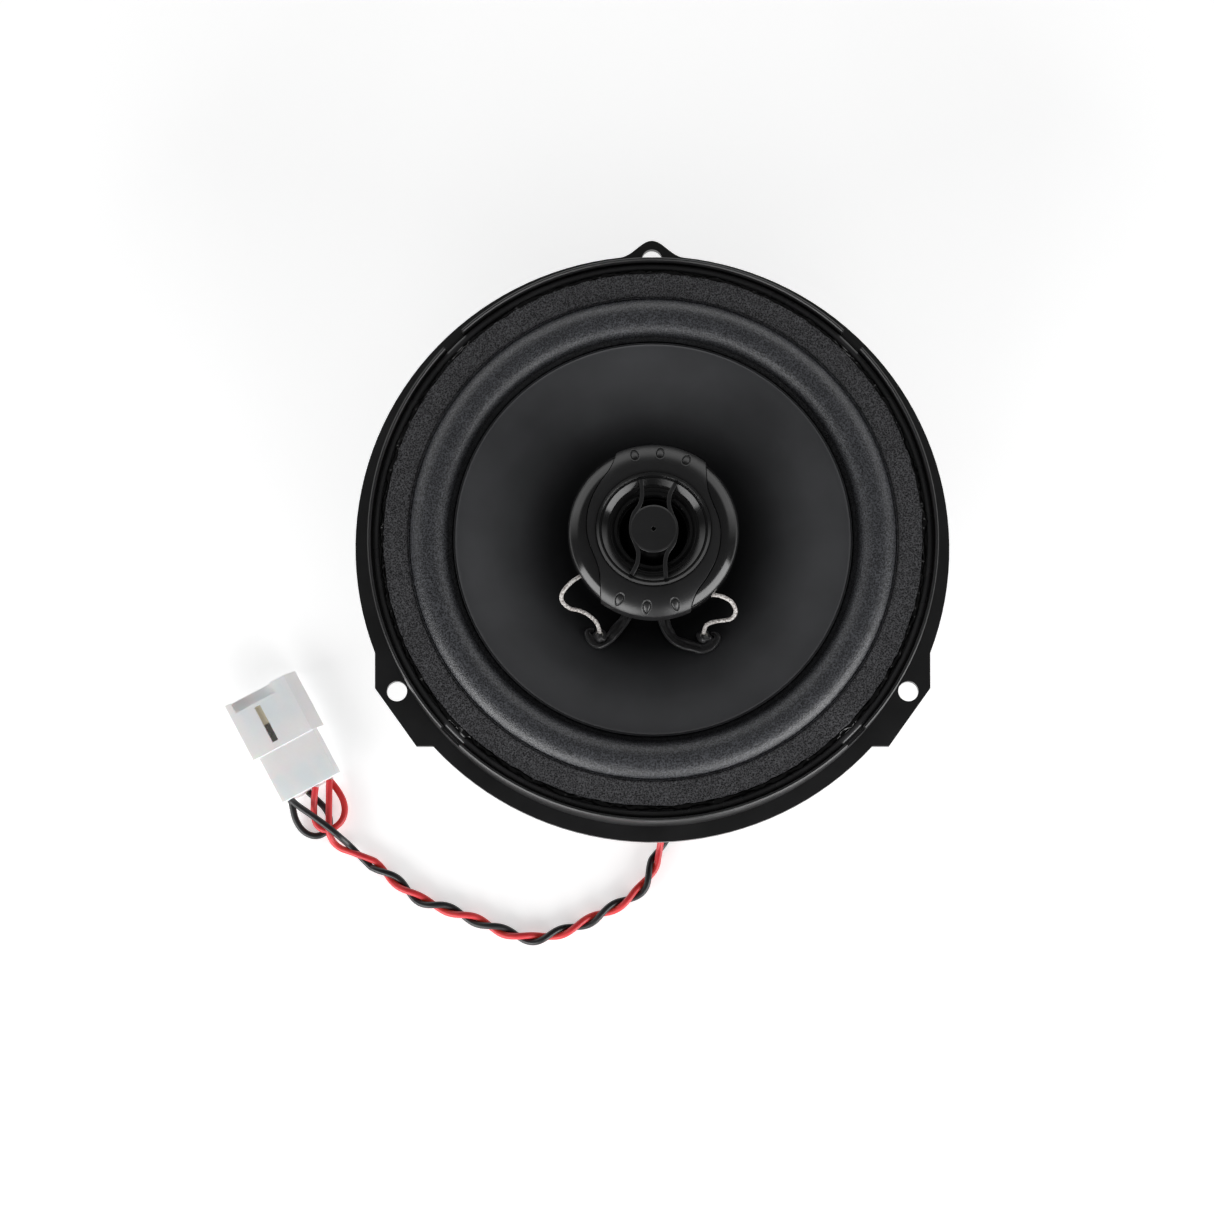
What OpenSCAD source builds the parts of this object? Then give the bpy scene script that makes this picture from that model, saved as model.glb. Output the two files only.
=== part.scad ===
// Coaxial car loudspeaker in a can-shaped mounting adapter, with its lead and plug.
// +Z points at the listener, +Y at the flange's top tab.
// The origin is on the driver's axis, at the flat back of the magnet system.

/* [Mounting adapter] */
// Outer radius of the mounting flange
flange_r = 87; // [86:0.5:88]
// Thickness of the mounting flange
flange_t = 2.5; // [2:0.25:3]
// Height of the flange's front face above the magnet's back
flange_z = 40; // [38:0.5:42]
// Radius of the circle that the three mounting holes lie on
hole_circle_r = 86; // [85.5:0.25:86.5]
// Radius of each mounting hole
hole_r = 2.95; // [2.5:0.05:3.25]
// Outer radius of the adapter's lip
lip_r = 82.5; // [82:0.25:83]
// Height of the lip's edge above the magnet's back
lip_z = 57; // [56.5:0.25:58]

/* [Woofer] */
// Radius of the basket's rim
rim_r = 81; // [80.5:0.1:81.2]
// Radius of the cone at its outer edge
cone_r = 57.8; // [57.5:0.1:58.5]
// Outer radius of the surround's half roll
roll_r = 70.2; // [70:0.1:71]
// Height of the half roll
roll_h = 4.2; // [3:0.1:5]
// Radius of the voice coil's former
coil_r = 12.5; // [12.4:0.05:12.6]
// Radius of the ferrite magnet
magnet_r = 36; // [34.5:0.5:40]

/* [Tweeter] */
// Radius of the tweeter pod
pod_r = 24.5; // [24:0.1:25]
// Height of the pod's front above the magnet's back
pod_z = 69.5; // [69:0.25:71]
// Radius of the tweeter's dome
dome_r = 9.9; // [9.8:0.05:9.95]

/* [Lead and plug] */
// Diameter of one insulated wire
wire_d = 2; // [1.8:0.1:2.2]
// Width of the plug's rear part
plug_w = 20; // [19:0.5:21]
// Height of the plug
plug_h = 9; // [8.5:0.25:10]

/* [Hidden] */
$fn = 96;

// Levels along the axis, from the magnet's back
plate_back_t = 5;                      // thickness of the yoke's back plate
magnet_z = 17;                         // front of the magnet
top_plate_z = 21;                      // front of the top plate
sheet_t = 1.6;                         // thickness of the basket's sheet
rim_z = 53.6;                          // front of the basket's rim
surround_t = 0.6;                      // thickness of the surround's sheet
gasket_t = 1.6;                        // thickness of the front gasket
gasket_r = 77.9;                       // outer radius of the front gasket
landing_z = 29.6;                      // front of the spider's landing
cone_edge_z = rim_z - 0.1;
cone_neck_z = 33.5;
cone_neck_r = coil_r + 0.3;
ear_angles = [45, 135, 225, 315];
hole_angles = [90, 210, 330];
can_wall = 2.2;                        // wall of the adapter below its shelf
shelf_z = rim_z - sheet_t;             // the rim lies on this shelf inside the adapter
ear_r = 81.8;                          // reach of the basket's ears
ear_w = 7;
ear_hole_r = 2.2;
ear_hole_at = 77.6;

// A solid ring between two radii and two heights
module ring(r_in, r_out, z_low, z_high) {
    translate([0, 0, z_low])
        difference() {
            cylinder(r = r_out, h = z_high - z_low);
            translate([0, 0, -1]) cylinder(r = r_in, h = z_high - z_low + 2);
        }
}

// A copy of the children at each angle about the axis
module around(angles) {
    for (a = angles) rotate([0, 0, a]) children();
}

function ramp(n) = [for (i = [0:n]) i / n];

// ---------------------------------------------------------------- adapter

tab_tip_r = 91.6;
tab_half_w = 10.4;
tab_steps = 12;
tab_root = 80;
ear_outline = [[81, -30], [80.9, -42.1], [68.7, -59.1], [62.6, -59.1], [60, -50], [74, -30]];

// The top tab swells out of the flange's edge as a bell
function tab_outline() = concat(
    [[tab_half_w, tab_root]],
    [for (t = ramp(2 * tab_steps))
        let (x = tab_half_w * (1 - 2 * t))
        [x, sqrt(flange_r * flange_r - x * x) - 0.05
            + (tab_tip_r - flange_r + 0.05) * pow(0.5 + 0.5 * cos(180 * x / tab_half_w), 1.35)]],
    [[-tab_half_w, tab_root]]);

module flange_outline() {
    difference() {
        union() {
            circle(r = flange_r);
            polygon(tab_outline());
            polygon(ear_outline);
            mirror([1, 0]) polygon(ear_outline);
        }
        circle(r = lip_r - can_wall);
    }
}

module adapter_ring() {
    lip_t = 0.9;
    lip_edge = 0.3;
    shelf_t = 2;
    shelf_r = 74;
    notch_w = 7.4;
    color([0.12, 0.12, 0.13])
        difference() {
            union() {
                translate([0, 0, flange_z - flange_t])
                    linear_extrude(height = flange_t) flange_outline();
                rotate_extrude()
                    polygon([
                        [lip_r - can_wall, flange_z - flange_t],
                        [lip_r, flange_z - flange_t],
                        [lip_r, lip_z - lip_edge],
                        [lip_r - lip_edge, lip_z],
                        [lip_r - lip_t + lip_edge, lip_z],
                        [lip_r - lip_t, lip_z - lip_edge],
                        [lip_r - lip_t, shelf_z],
                        [shelf_r, shelf_z],
                        [shelf_r, shelf_z - shelf_t],
                        [lip_r - can_wall, shelf_z - shelf_t]]);
            }
            around(hole_angles)
                translate([hole_circle_r, 0, flange_z - flange_t - 1])
                    cylinder(r = hole_r, h = flange_t + 2);
            around(ear_angles)
                translate([shelf_r + 2, -notch_w / 2, shelf_z])
                    cube([lip_r - shelf_r, notch_w, lip_z - shelf_z + 1]);
            around(ear_angles)
                translate([ear_hole_at, 0, shelf_z - shelf_t - 1])
                    cylinder(r = 1.3, h = shelf_t + 2);
        }
}

// Cement squeezed out beside the gasket
module sealant_bead() {
    bead_w = 1.1;
    bead_h = 0.6;
    color([0.02, 0.02, 0.02])
        ring(gasket_r + 0.1, gasket_r + 0.1 + bead_w, rim_z, rim_z + bead_h);
}

// ---------------------------------------------------------------- basket

floor_r = 31.9;
landing_r = 40.5;
bowl_r = 68.2;
bowl_z = 46;
floor_bore_r = 16;
window_angle = 42;
rivet_circle_r = 24;
rivet_r = 1.9;
bracket_w = 20;
bracket_end = -50;

module basket() {
    ridge_w = 1.6;
    ridge_h = 0.4;
    color([0.1, 0.1, 0.11])
        difference() {
            union() {
                rotate_extrude()
                    polygon([
                        [floor_bore_r, top_plate_z], [floor_r + sheet_t, top_plate_z],
                        [floor_r + sheet_t, landing_z - sheet_t],
                        [landing_r + 0.9, landing_z - sheet_t],
                        [bowl_r + 1.4, bowl_z - 1.2], [roll_r + 1.6, rim_z - sheet_t],
                        [rim_r, rim_z - sheet_t], [rim_r, rim_z + ridge_h],
                        [rim_r - ridge_w, rim_z + ridge_h], [rim_r - ridge_w - 0.2, rim_z],
                        [roll_r + 0.2, rim_z],
                        [bowl_r, bowl_z], [landing_r, landing_z + 1.2], [landing_r, landing_z],
                        [floor_r, landing_z], [floor_r, top_plate_z + sheet_t],
                        [floor_bore_r, top_plate_z + sheet_t]]);
                around(ear_angles)
                    translate([rim_r - 3, -ear_w / 2, rim_z - sheet_t])
                        cube([ear_r - rim_r + 3, ear_w, sheet_t]);
                translate([-bracket_w / 2, bracket_end, landing_z - sheet_t])
                    cube([bracket_w, -bracket_end - floor_r - 3, sheet_t]);
            }
            around([for (i = [0:5]) 60 * i])
                rotate([0, 0, -window_angle / 2])
                    rotate_extrude(angle = window_angle)
                        polygon([[44, 20], [66.5, 20], [66.5, 50], [44, 50]]);
            around(ear_angles)
                translate([ear_hole_at, 0, rim_z - sheet_t - 1])
                    cylinder(r = ear_hole_r, h = sheet_t + 2);
            around(ear_angles)
                translate([rivet_circle_r, 0, top_plate_z - 1])
                    cylinder(r = rivet_r + 0.05, h = sheet_t + 2);
            for (x = [-board_rivet_x, board_rivet_x])
                translate([x, board_rivet_y, landing_z - sheet_t - 1])
                    cylinder(r = 1.35, h = sheet_t + 2);
        }
}

module basket_rivets() {
    head_r = 3.2;
    head_t = 1.1;
    color([0.5, 0.5, 0.52])
        around(ear_angles)
            translate([rivet_circle_r, 0, 0])
                rotate_extrude()
                    polygon([
                        [0, top_plate_z], [rivet_r, top_plate_z], [rivet_r, top_plate_z + sheet_t],
                        [head_r, top_plate_z + sheet_t],
                        [head_r * 0.7, top_plate_z + sheet_t + head_t],
                        [0, top_plate_z + sheet_t + head_t]]);
}

module front_gasket() {
    color([0.16, 0.16, 0.17])
        ring(roll_r, gasket_r, rim_z + surround_t, rim_z + surround_t + gasket_t);
}

// ---------------------------------------------------------------- surround and spider

roll_in = cone_r + 1.8;
roll_mid = (roll_in + roll_r) / 2;
roll_half = (roll_r - roll_in) / 2;

// Points along a half ellipse, from the outer side to the inner side
function roll_arc(w, h, n) =
    [for (t = ramp(n)) [roll_mid + w * cos(180 * t), rim_z + h * sin(180 * t)]];

module surround() {
    flat_in = cone_r - 2.4;
    outer = roll_arc(roll_half, roll_h, 16);
    inner = roll_arc(roll_half - surround_t, roll_h - surround_t, 16);
    color([0.14, 0.14, 0.15])
        rotate_extrude()
            polygon(concat(
                [[gasket_r - 0.1, rim_z], [gasket_r - 0.1, rim_z + surround_t]],
                [for (p = outer) [p[0], max(p[1], rim_z + surround_t)]],
                [[flat_in, rim_z + surround_t], [flat_in, rim_z]],
                [for (i = [16:-1:0]) inner[i]]));
}

spider_in = coil_r + 0.5;
spider_waves = 6;
spider_t = 0.5;

function spider_z(r) = landing_z + 0.9 + 0.9 * cos(360 * spider_waves * (r - 14) / (33 - 14));

module spider() {
    steps = 36;
    wave = [for (t = ramp(steps)) 14 + t * (33 - 14)];
    color([0.75, 0.6, 0.3])
        rotate_extrude()
            polygon(concat(
                [[spider_in, spider_z(14)]],
                [for (r = wave) [r, spider_z(r)]],
                [[34, landing_z], [39.8, landing_z], [39.8, landing_z + spider_t],
                    [34, landing_z + spider_t]],
                [for (i = [steps:-1:0]) [wave[i], spider_z(wave[i]) + spider_t]],
                [[spider_in, spider_z(14) + spider_t]]));
}

// ---------------------------------------------------------------- magnet system

pole_r = coil_r - 0.4;
pole_z = 23;
post_r = 3.9;
post_low = 12;

module yoke() {
    color([0.35, 0.35, 0.37])
        rotate_extrude()
            polygon([
                [0, 0], [magnet_r - 2.8, 0], [magnet_r - 2, 0.8], [magnet_r - 2, plate_back_t],
                [pole_r, plate_back_t], [pole_r, pole_z - 0.6], [pole_r - 0.6, pole_z],
                [post_r, pole_z], [post_r, post_low], [0, post_low]]);
}

module magnet() {
    color([0.16, 0.16, 0.17])
        rotate_extrude()
            polygon([
                [16.5, plate_back_t], [magnet_r - 0.6, plate_back_t],
                [magnet_r, plate_back_t + 0.6], [magnet_r, magnet_z - 0.6],
                [magnet_r - 0.6, magnet_z], [16.5, magnet_z]]);
}

module top_plate() {
    color([0.35, 0.35, 0.37])
        ring(coil_r + 1.7, magnet_r - 3, magnet_z, top_plate_z);
}

module tweeter_post() {
    color([0.3, 0.3, 0.31])
        ring(2, post_r, post_low, pod_floor_z);
}

// ---------------------------------------------------------------- cone and voice coil

// Height of the cone's front at radius r
function cone_z(r) =
    cone_neck_z + (cone_edge_z - cone_neck_z)
        * (1 - pow(1 - (r - cone_neck_r) / (cone_r - cone_neck_r), 1.35));

module cone() {
    cone_t = 0.5;
    steps = 14;
    rs = [for (t = ramp(steps)) cone_neck_r + t * (cone_r - cone_neck_r)];
    color([0.2, 0.2, 0.22])
        rotate_extrude()
            polygon(concat(
                [for (r = rs) [r, cone_z(r) - 0.2]],
                [for (i = [steps:-1:0]) [rs[i], cone_z(rs[i]) - 0.2 - cone_t]]));
}

module coil_former() {
    color([0.7, 0.55, 0.3])
        ring(coil_r, cone_neck_r, 13.5, 36.5);
}

module coil_winding() {
    color([0.7, 0.35, 0.2])
        ring(cone_neck_r, coil_r + 1, 14.5, 23.5);
}

// The two glued-down strips that carry the coil's wires up the cone, as points [x, y]
strip_left = [[-6.4, -18.5], [-7.5, -20.9], [-10.2, -25.2], [-12.6, -27.8], [-15.8, -28.6]];
strip_right = [[2.2, -18.5], [2.9, -21.6], [4.4, -25.4], [6.6, -28.2], [10.2, -29.6], [15.2, -28.8]];
strip_r = 1.6;
eyelet_left = [-15.5, -27.2];
eyelet_right = [14.9, -27.4];

function reach(p) = sqrt(p[0] * p[0] + p[1] * p[1]);

// A strip lies on the cone
function on_cone(points) = [for (p = points) [p[0], p[1], cone_z(reach(p)) + strip_r - 0.3]];

module coil_lead_left() {
    color([0.07, 0.07, 0.08]) tube(smooth(on_cone(strip_left), 2), 2 * strip_r);
}

module coil_lead_right() {
    color([0.07, 0.07, 0.08]) tube(smooth(on_cone(strip_right), 2), 2 * strip_r);
}

module lead_eyelets() {
    color([0.7, 0.7, 0.68])
        for (p = [eyelet_left, eyelet_right])
            translate([p[0], p[1], cone_z(reach(p)) + 1.2])
                difference() {
                    cylinder(r = 1.1, h = 0.8, $fn = 32);
                    translate([0, 0, -1]) cylinder(r = 0.5, h = 3, $fn = 32);
                }
}

// ---------------------------------------------------------------- swept tubes

function sub3(a, b) = [a[0] - b[0], a[1] - b[1], a[2] - b[2]];
function unit(v) = v / norm(v);

// Catmull-Rom point between p1 and p2
function spline(p0, p1, p2, p3, t) =
    0.5 * ((2 * p1) + (p2 - p0) * t + (2 * p0 - 5 * p1 + 4 * p2 - p3) * t * t
        + (3 * p1 - 3 * p2 + p3 - p0) * t * t * t);

// The route with steps points between each pair of its own points
function smooth(route, steps) =
    let (n = len(route))
    [for (i = [0:n - 2]) for (s = [0:(i == n - 2 ? steps : steps - 1)])
        spline(route[max(i - 1, 0)], route[i], route[i + 1], route[min(i + 2, n - 1)], s / steps)];

function tangent(path, i) =
    unit(sub3(path[min(i + 1, len(path) - 1)], path[max(i - 1, 0)]));

// One closed polyhedron of round section along the path; no stretch may point along the side axis
module tube(path, d, side = [0, 0, 1], sides = 8) {
    n = len(path);
    points = [for (i = [0:n - 1])
        let (t = tangent(path, i), u = unit(cross(side, t)), v = cross(t, u))
        for (k = [0:sides - 1]) path[i] + d / 2 * (cos(360 * k / sides) * u + sin(360 * k / sides) * v)];
    walls = [for (i = [0:n - 2]) for (k = [0:sides - 1])
        [i * sides + k, i * sides + (k + 1) % sides,
            (i + 1) * sides + (k + 1) % sides, (i + 1) * sides + k]];
    ends = [[for (k = [sides - 1:-1:0]) k], [for (k = [0:sides - 1]) (n - 1) * sides + k]];
    polyhedron(points = points, faces = concat(walls, ends), convexity = 6);
}

// ---------------------------------------------------------------- flexible leads on the driver

tinsel_d = 1.4;
tweeter_route_left = [
    [-20.9, -11.6, 56.5], [-23.8, -13.6, 56.2], [-26.2, -16.4, 55], [-26.2, -18.6, 53.4],
    [-24, -20.4, 52], [-21.3, -20.9, 51.1], [-18.6, -22.1, 50], [-16.4, -24, 48.6],
    [-15.5, -26.2, 46.4]];
tweeter_route_right = [
    [16.3, -17.1, 56.5], [19.4, -17.4, 56.2], [22.6, -19, 55], [23.8, -21.6, 53.4],
    [22.6, -23.4, 52.2], [20.4, -23.8, 51.2], [17.8, -24, 50], [15.6, -24.7, 48.4],
    [14.9, -26.2, 46.4]];
woofer_route_left = [
    [-6, -42.5, 31.5], [-6, -39, 34.5], [-7, -35, 36.5], [-8, -30, 37], [-9, -25, 36.8], [-9.5, -20.5, 36.2]];
woofer_route_right = [
    [6, -42.5, 31.5], [6, -39, 34.5], [7, -35, 36.5], [8, -30, 37], [9, -25, 36.8], [9.5, -20.5, 36.2]];

module tweeter_lead_left() {
    color([0.85, 0.83, 0.78]) tube(smooth(tweeter_route_left, 2), tinsel_d);
}

module tweeter_lead_right() {
    color([0.85, 0.83, 0.78]) tube(smooth(tweeter_route_right, 2), tinsel_d);
}

module woofer_lead_left() {
    color([0.85, 0.83, 0.78]) tube(smooth(woofer_route_left, 2), tinsel_d);
}

module woofer_lead_right() {
    color([0.85, 0.83, 0.78]) tube(smooth(woofer_route_right, 2), tinsel_d);
}

// ---------------------------------------------------------------- tweeter pod

pod_floor_z = 50;
pod_split_z = 58;                      // the base ends and the bezel starts here
boss_r = 6.5;

module pod_base() {
    wall = 1.4;
    floor_edge_r = 19;
    knee_r = 22.2;
    color([0.1, 0.1, 0.11])
        difference() {
            union() {
                rotate_extrude()
                    polygon([
                        [0, pod_floor_z], [floor_edge_r, pod_floor_z], [knee_r, pod_floor_z + 3],
                        [pod_r - 0.7, pod_split_z], [pod_r - 0.7 - wall, pod_split_z],
                        [knee_r - wall, pod_floor_z + 3.6],
                        [floor_edge_r - 0.6, pod_floor_z + wall],
                        [0, pod_floor_z + wall]]);
                translate([0, 0, pod_floor_z - 4]) cylinder(r = boss_r, h = 4 + wall);
            }
            translate([0, 0, pod_floor_z - 5]) cylinder(r = post_r, h = 5);
            translate([0, 0, pod_floor_z - 5]) cylinder(r = 1.6, h = 12);
        }
}

// The pod's front face is flat from front_in to pod_flat_r, then an arc out to its edge, where it
// slopes by pod_tilt. This is the arc from the edge inwards, raised by lift
front_in = 16.4;
front_z = pod_z - 1.2;
pod_flat_r = pod_r - 6.5;
pod_tilt = 54;
pod_arc_r = (pod_r - pod_flat_r) / sin(pod_tilt);
function pod_front(lift) = [
    for (t = ramp(8))
        let (a = pod_tilt * (1 - t))
        [pod_flat_r + (pod_arc_r + lift) * sin(a), front_z - pod_arc_r + (pod_arc_r + lift) * cos(a)]];

module pod_bezel() {
    wall = 1.6;
    color([0.12, 0.12, 0.13])
        rotate_extrude()
            polygon(concat(
                [[pod_r, pod_split_z]],
                pod_front(0),
                [[front_in, front_z], [front_in, front_z - wall], [pod_flat_r, front_z - wall],
                    [pod_r - wall - 1, pod_z - 6], [pod_r - wall, pod_split_z]]));
}

// Left edge of the face plate's band, from the top down, as points [x, y]; the right edge is
// the same edge turned half a turn
band_edge = [[-10.6, 23.6], [-11, 21], [-12.4, 17.6], [-15.2, 13.6], [-17.6, 9], [-18.8, 4.6],
    [-19, 0], [-18.2, -4], [-16.4, -8.6], [-15.4, -12], [-15.1, -16], [-15.1, -20.6]];

module band_outline() {
    edge = concat([[-10, 30]], band_edge, [[-15, -30]]);
    polygon(concat(edge, [for (p = edge) -p]));
}

dimple_angles = [104, 85, 65, 244, 265, 286];

module face_plate() {
    lift = 0.7;
    skin = 0.02;                       // the plate's clearance over the bezel
    plate_low = pod_z - 10.2;
    dimple_r = 1.25;
    dimple_tilt = 33;
    color([0.15, 0.15, 0.16])
        difference() {
            intersection() {
                rotate_extrude()
                    polygon(concat(
                        [[pod_r + skin, plate_low], [pod_r + lift, plate_low],
                            [pod_r + lift, pod_front(lift)[0][1] - 0.2]],
                        pod_front(lift),
                        [[front_in, front_z + lift], [front_in, front_z + skin]],
                        [for (i = [8:-1:0]) pod_front(skin)[i]]));
                translate([0, 0, pod_z - 12]) linear_extrude(height = 14) band_outline();
            }
            for (a = dimple_angles)
                rotate([0, 0, a])
                    translate([pod_r - 2.1, 0, pod_z - 2.5])
                        rotate([0, dimple_tilt, 0])
                            translate([0, 0, -0.1]) cylinder(r = dimple_r, h = 4, $fn = 32);
        }
}

module waveguide_ring() {
    color([0.3, 0.3, 0.31])
        rotate_extrude()
            polygon([
                [16.35, pod_z - 4], [16.35, pod_z - 0.1], [15.3, pod_z - 0.9], [14.7, pod_z - 1.05],
                [12.4, pod_z - 2.7], [12, pod_z - 3.1], [10, pod_z - 3.9], [10, pod_z - 5.4],
                [14.8, pod_z - 5.4]]);
}

// Half width of the guard between its ribs at height y, as the ribs hug the disc's sides
guard_disc_r = 6.9;
rib_w = 1.2;
rib_left = [[-3.6, 14.1], [-3.4, 12.6], [-3.3, 9.6], [-3.9, 7], [-5.8, 4.6], [-6.5, 2], [-6.6, 0],
    [-6.3, -2], [-5.2, -4.6], [-4.4, -7], [-4.6, -9.6], [-5.3, -11.4], [-6.2, -12.9]];

// A flat strip of constant width along points
module flat_strip(points, w) {
    n = len(points);
    side = [for (i = [0:n - 1])
        let (d = points[min(i + 1, n - 1)] - points[max(i - 1, 0)])
        [-d[1], d[0]] * w / 2 / norm(d)];
    polygon(concat(
        [for (i = [0:n - 1]) points[i] + side[i]],
        [for (i = [n - 1:-1:0]) points[i] - side[i]]));
}

module tweeter_guard() {
    guard_t = 1.1;
    color([0.15, 0.15, 0.16])
        translate([0, 0, pod_z - 0.9])
            difference() {
                union() {
                    cylinder(r = guard_disc_r, h = guard_t);
                    for (turn = [0, 180])
                        rotate([0, 0, turn])
                            linear_extrude(height = guard_t) flat_strip(rib_left, rib_w);
                }
                translate([0, 0, -1]) cylinder(r = 0.65, h = guard_t + 2);
            }
}

cup_low = pod_floor_z + 1.5;
gap_z = 59;                            // front of the tweeter's magnet system

module tweeter_cup() {
    color([0.5, 0.5, 0.52])
        rotate_extrude()
            polygon([
                [1.6, cup_low], [13, cup_low], [13, gap_z], [dome_r + 0.9, gap_z],
                [dome_r + 0.9, cup_low + 1.6], [1.6, cup_low + 1.6]]);
}

module tweeter_magnet() {
    color([0.6, 0.6, 0.62])
        ring(1.6, 8.5, cup_low + 1.6, gap_z - 2.2);
}

module tweeter_pole_plate() {
    color([0.4, 0.4, 0.42])
        ring(1.6, dome_r - 0.4, gap_z - 2.2, gap_z);
}

dome_h = 3.2;
dome_base_z = gap_z + 1;

module tweeter_dome() {
    dome_t = 0.25;
    bend_r = (dome_r * dome_r + dome_h * dome_h) / (2 * dome_h);
    color([0.06, 0.06, 0.07])
        intersection() {
            translate([0, 0, dome_base_z + dome_h - bend_r])
                difference() {
                    sphere(r = bend_r);
                    sphere(r = bend_r - dome_t);
                }
            translate([0, 0, dome_base_z]) cylinder(r = dome_r, h = dome_h + 1);
        }
}

module tweeter_coil() {
    color([0.7, 0.35, 0.2])
        ring(dome_r, dome_r + 0.35, gap_z - 3, dome_base_z + 0.6);
}

module tweeter_suspension() {
    in_r = dome_r + 0.5;
    out_r = 13;
    mid = (in_r + out_r) / 2;
    color([0.06, 0.06, 0.07])
        rotate_extrude()
            polygon(concat(
                [[in_r, gap_z + 0.2]],
                [for (t = ramp(6)) [mid - (out_r - in_r) / 2 * cos(180 * t),
                    gap_z + 0.5 + 0.9 * sin(180 * t)]],
                [[out_r, gap_z], [in_r + 0.6, gap_z + 0.2]]));
}

module tweeter_capacitor() {
    color([0.8, 0.6, 0.15])
        translate([-4.5, 17, pod_floor_z + 4.4])
            rotate([0, 90, 0]) cylinder(r = 2.4, h = 9);
}

// ---------------------------------------------------------------- terminals on the basket

board_w = 21;
board_t = 1.6;
board_z = landing_z - sheet_t - board_t;
board_front = -54;
board_rivet_x = 7.5;
board_rivet_y = -47.3;
tab_x = 6;
tab_w = 6.3;
tab_t = 0.8;
tab_z = board_z - tab_t;
tab_end = -63;
sleeve_w = 9;
sleeve_h = 5;
sleeve_z = tab_z + tab_t / 2 - sleeve_h / 2;
sleeve_end = -67;
wire_exit_z = tab_z + tab_t / 2;

module terminal_board() {
    color([0.35, 0.22, 0.12])
        difference() {
            translate([-board_w / 2, board_front, board_z]) cube([board_w, -board_front - 42, board_t]);
            for (x = [-board_rivet_x, board_rivet_x])
                translate([x, board_rivet_y, board_z - 1]) cylinder(r = 1.35, h = board_t + 2, $fn = 32);
        }
}

module terminal_rivets() {
    shank = sheet_t + board_t + tab_t;
    head_t = 0.5;
    color([0.75, 0.7, 0.5])
        for (x = [-board_rivet_x, board_rivet_x])
            translate([x, board_rivet_y, tab_z]) {
                cylinder(r = 1.3, h = shank, $fn = 32);
                translate([0, 0, -head_t]) cylinder(r = 2, h = head_t, $fn = 32);
                translate([0, 0, shank]) cylinder(r = 2, h = head_t, $fn = 32);
            }
}

module terminal_tab(side) {
    difference() {
        translate([side * tab_x - tab_w / 2, tab_end, tab_z]) cube([tab_w, -tab_end - 43, tab_t]);
        translate([side * board_rivet_x, board_rivet_y, tab_z - 1])
            cylinder(r = 1.35, h = tab_t + 2, $fn = 32);
        translate([side * tab_x, tab_end + 3.2, tab_z - 1]) cylinder(r = 0.8, h = tab_t + 2, $fn = 32);
    }
}

module terminal_tab_positive() { color([0.8, 0.78, 0.7]) terminal_tab(1); }
module terminal_tab_negative() { color([0.8, 0.78, 0.7]) terminal_tab(-1); }

// Folded brass receptacle that grips the tab
module push_on(side) {
    w = tab_w + 1;
    h = 2.6;
    translate([side * tab_x - w / 2, tab_end, tab_z + tab_t / 2 - h / 2])
        difference() {
            cube([w, 8, h]);
            translate([0.45, -1, h / 2 - tab_t / 2]) cube([w - 0.9, 10, tab_t]);
        }
    translate([side * tab_x, tab_end, wire_exit_z])
        rotate([90, 0, 0]) cylinder(r = 1.2, h = -sleeve_end + tab_end, $fn = 32);
}

module push_on_positive() { color([0.8, 0.65, 0.3]) push_on(1); }
module push_on_negative() { color([0.8, 0.65, 0.3]) push_on(-1); }

// Insulating sleeve over the receptacle
module sleeve(side) {
    gap = 0.1;
    w = tab_w + 1 + 2 * gap;
    h = 2.6 + 2 * gap;
    translate([side * tab_x, 0, wire_exit_z])
        difference() {
            translate([-sleeve_w / 2, sleeve_end, -sleeve_h / 2])
                cube([sleeve_w, board_front - 0.5 - sleeve_end, sleeve_h]);
            translate([-w / 2, tab_end - gap, -h / 2]) cube([w, 20, h]);
            translate([0, tab_end + 1, 0])
                rotate([90, 0, 0]) cylinder(r = 1.3, h = 20, $fn = 32);
        }
}

module sleeve_positive() { color([0.7, 0.1, 0.12]) sleeve(1); }
module sleeve_negative() { color([0.08, 0.08, 0.09]) sleeve(-1); }

// ---------------------------------------------------------------- lead and plug

pair_d = 2 * wire_d;
plug_at = [-101.8, -68];               // middle of the plug's rear face
plug_turn = 28.4;                      // the plug's width axis, from +X
plug_rear_l = 15.2;                    // length of the plug's rear part
plug_l = 33.8;                         // length of the whole plug
plug_front_w = 24.4;
cavity_w = [-7, -1.3, 1.3, 6];         // the four cavities along the plug's width
cavity_z = [4.4, 3.4, 5.6, 4.4];       // where each cavity's wire leaves it
cavity_s = 2.4;

red_start_route = [
    [6, -67, 26], [6, -70.5, 26], [5.8, -74, 24.6], [5.2, -76.6, 21], [4.4, -78.2, 16],
    [3.6, -79.6, 11], [3.2, -81.6, 6.8], [2.6, -85, 3.7]];
black_start_route = [
    [-6, -67, 26], [-6, -70.5, 26], [-5.2, -73.4, 24], [-3, -75, 20], [0.4, -75.8, 15.4],
    [3.4, -76.8, 11], [5, -79, 6.8], [4.9, -82.2, 3.2], [3.2, -85, 1.2]];
pair_route = [
    [1.6, -85.6, 2], [0.9, -89.5, 2], [-0.6, -93.6, 2], [-2.8, -97.4, 2], [-6.2, -100.4, 2],
    [-10.4, -102.8, 2], [-15, -105.2, 2], [-19.6, -107.8, 2], [-24.6, -109.8, 2],
    [-32, -112.2, 2], [-36.5, -112.6, 2], [-41.4, -111.4, 2], [-48.6, -108.7, 2],
    [-56.3, -105.6, 2], [-61.6, -103.6, 2], [-68.2, -101.4, 2], [-72.8, -98.4, 2],
    [-76.6, -95.2, 2], [-80.6, -92.2, 2], [-86.6, -88.2, 2]];
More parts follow.
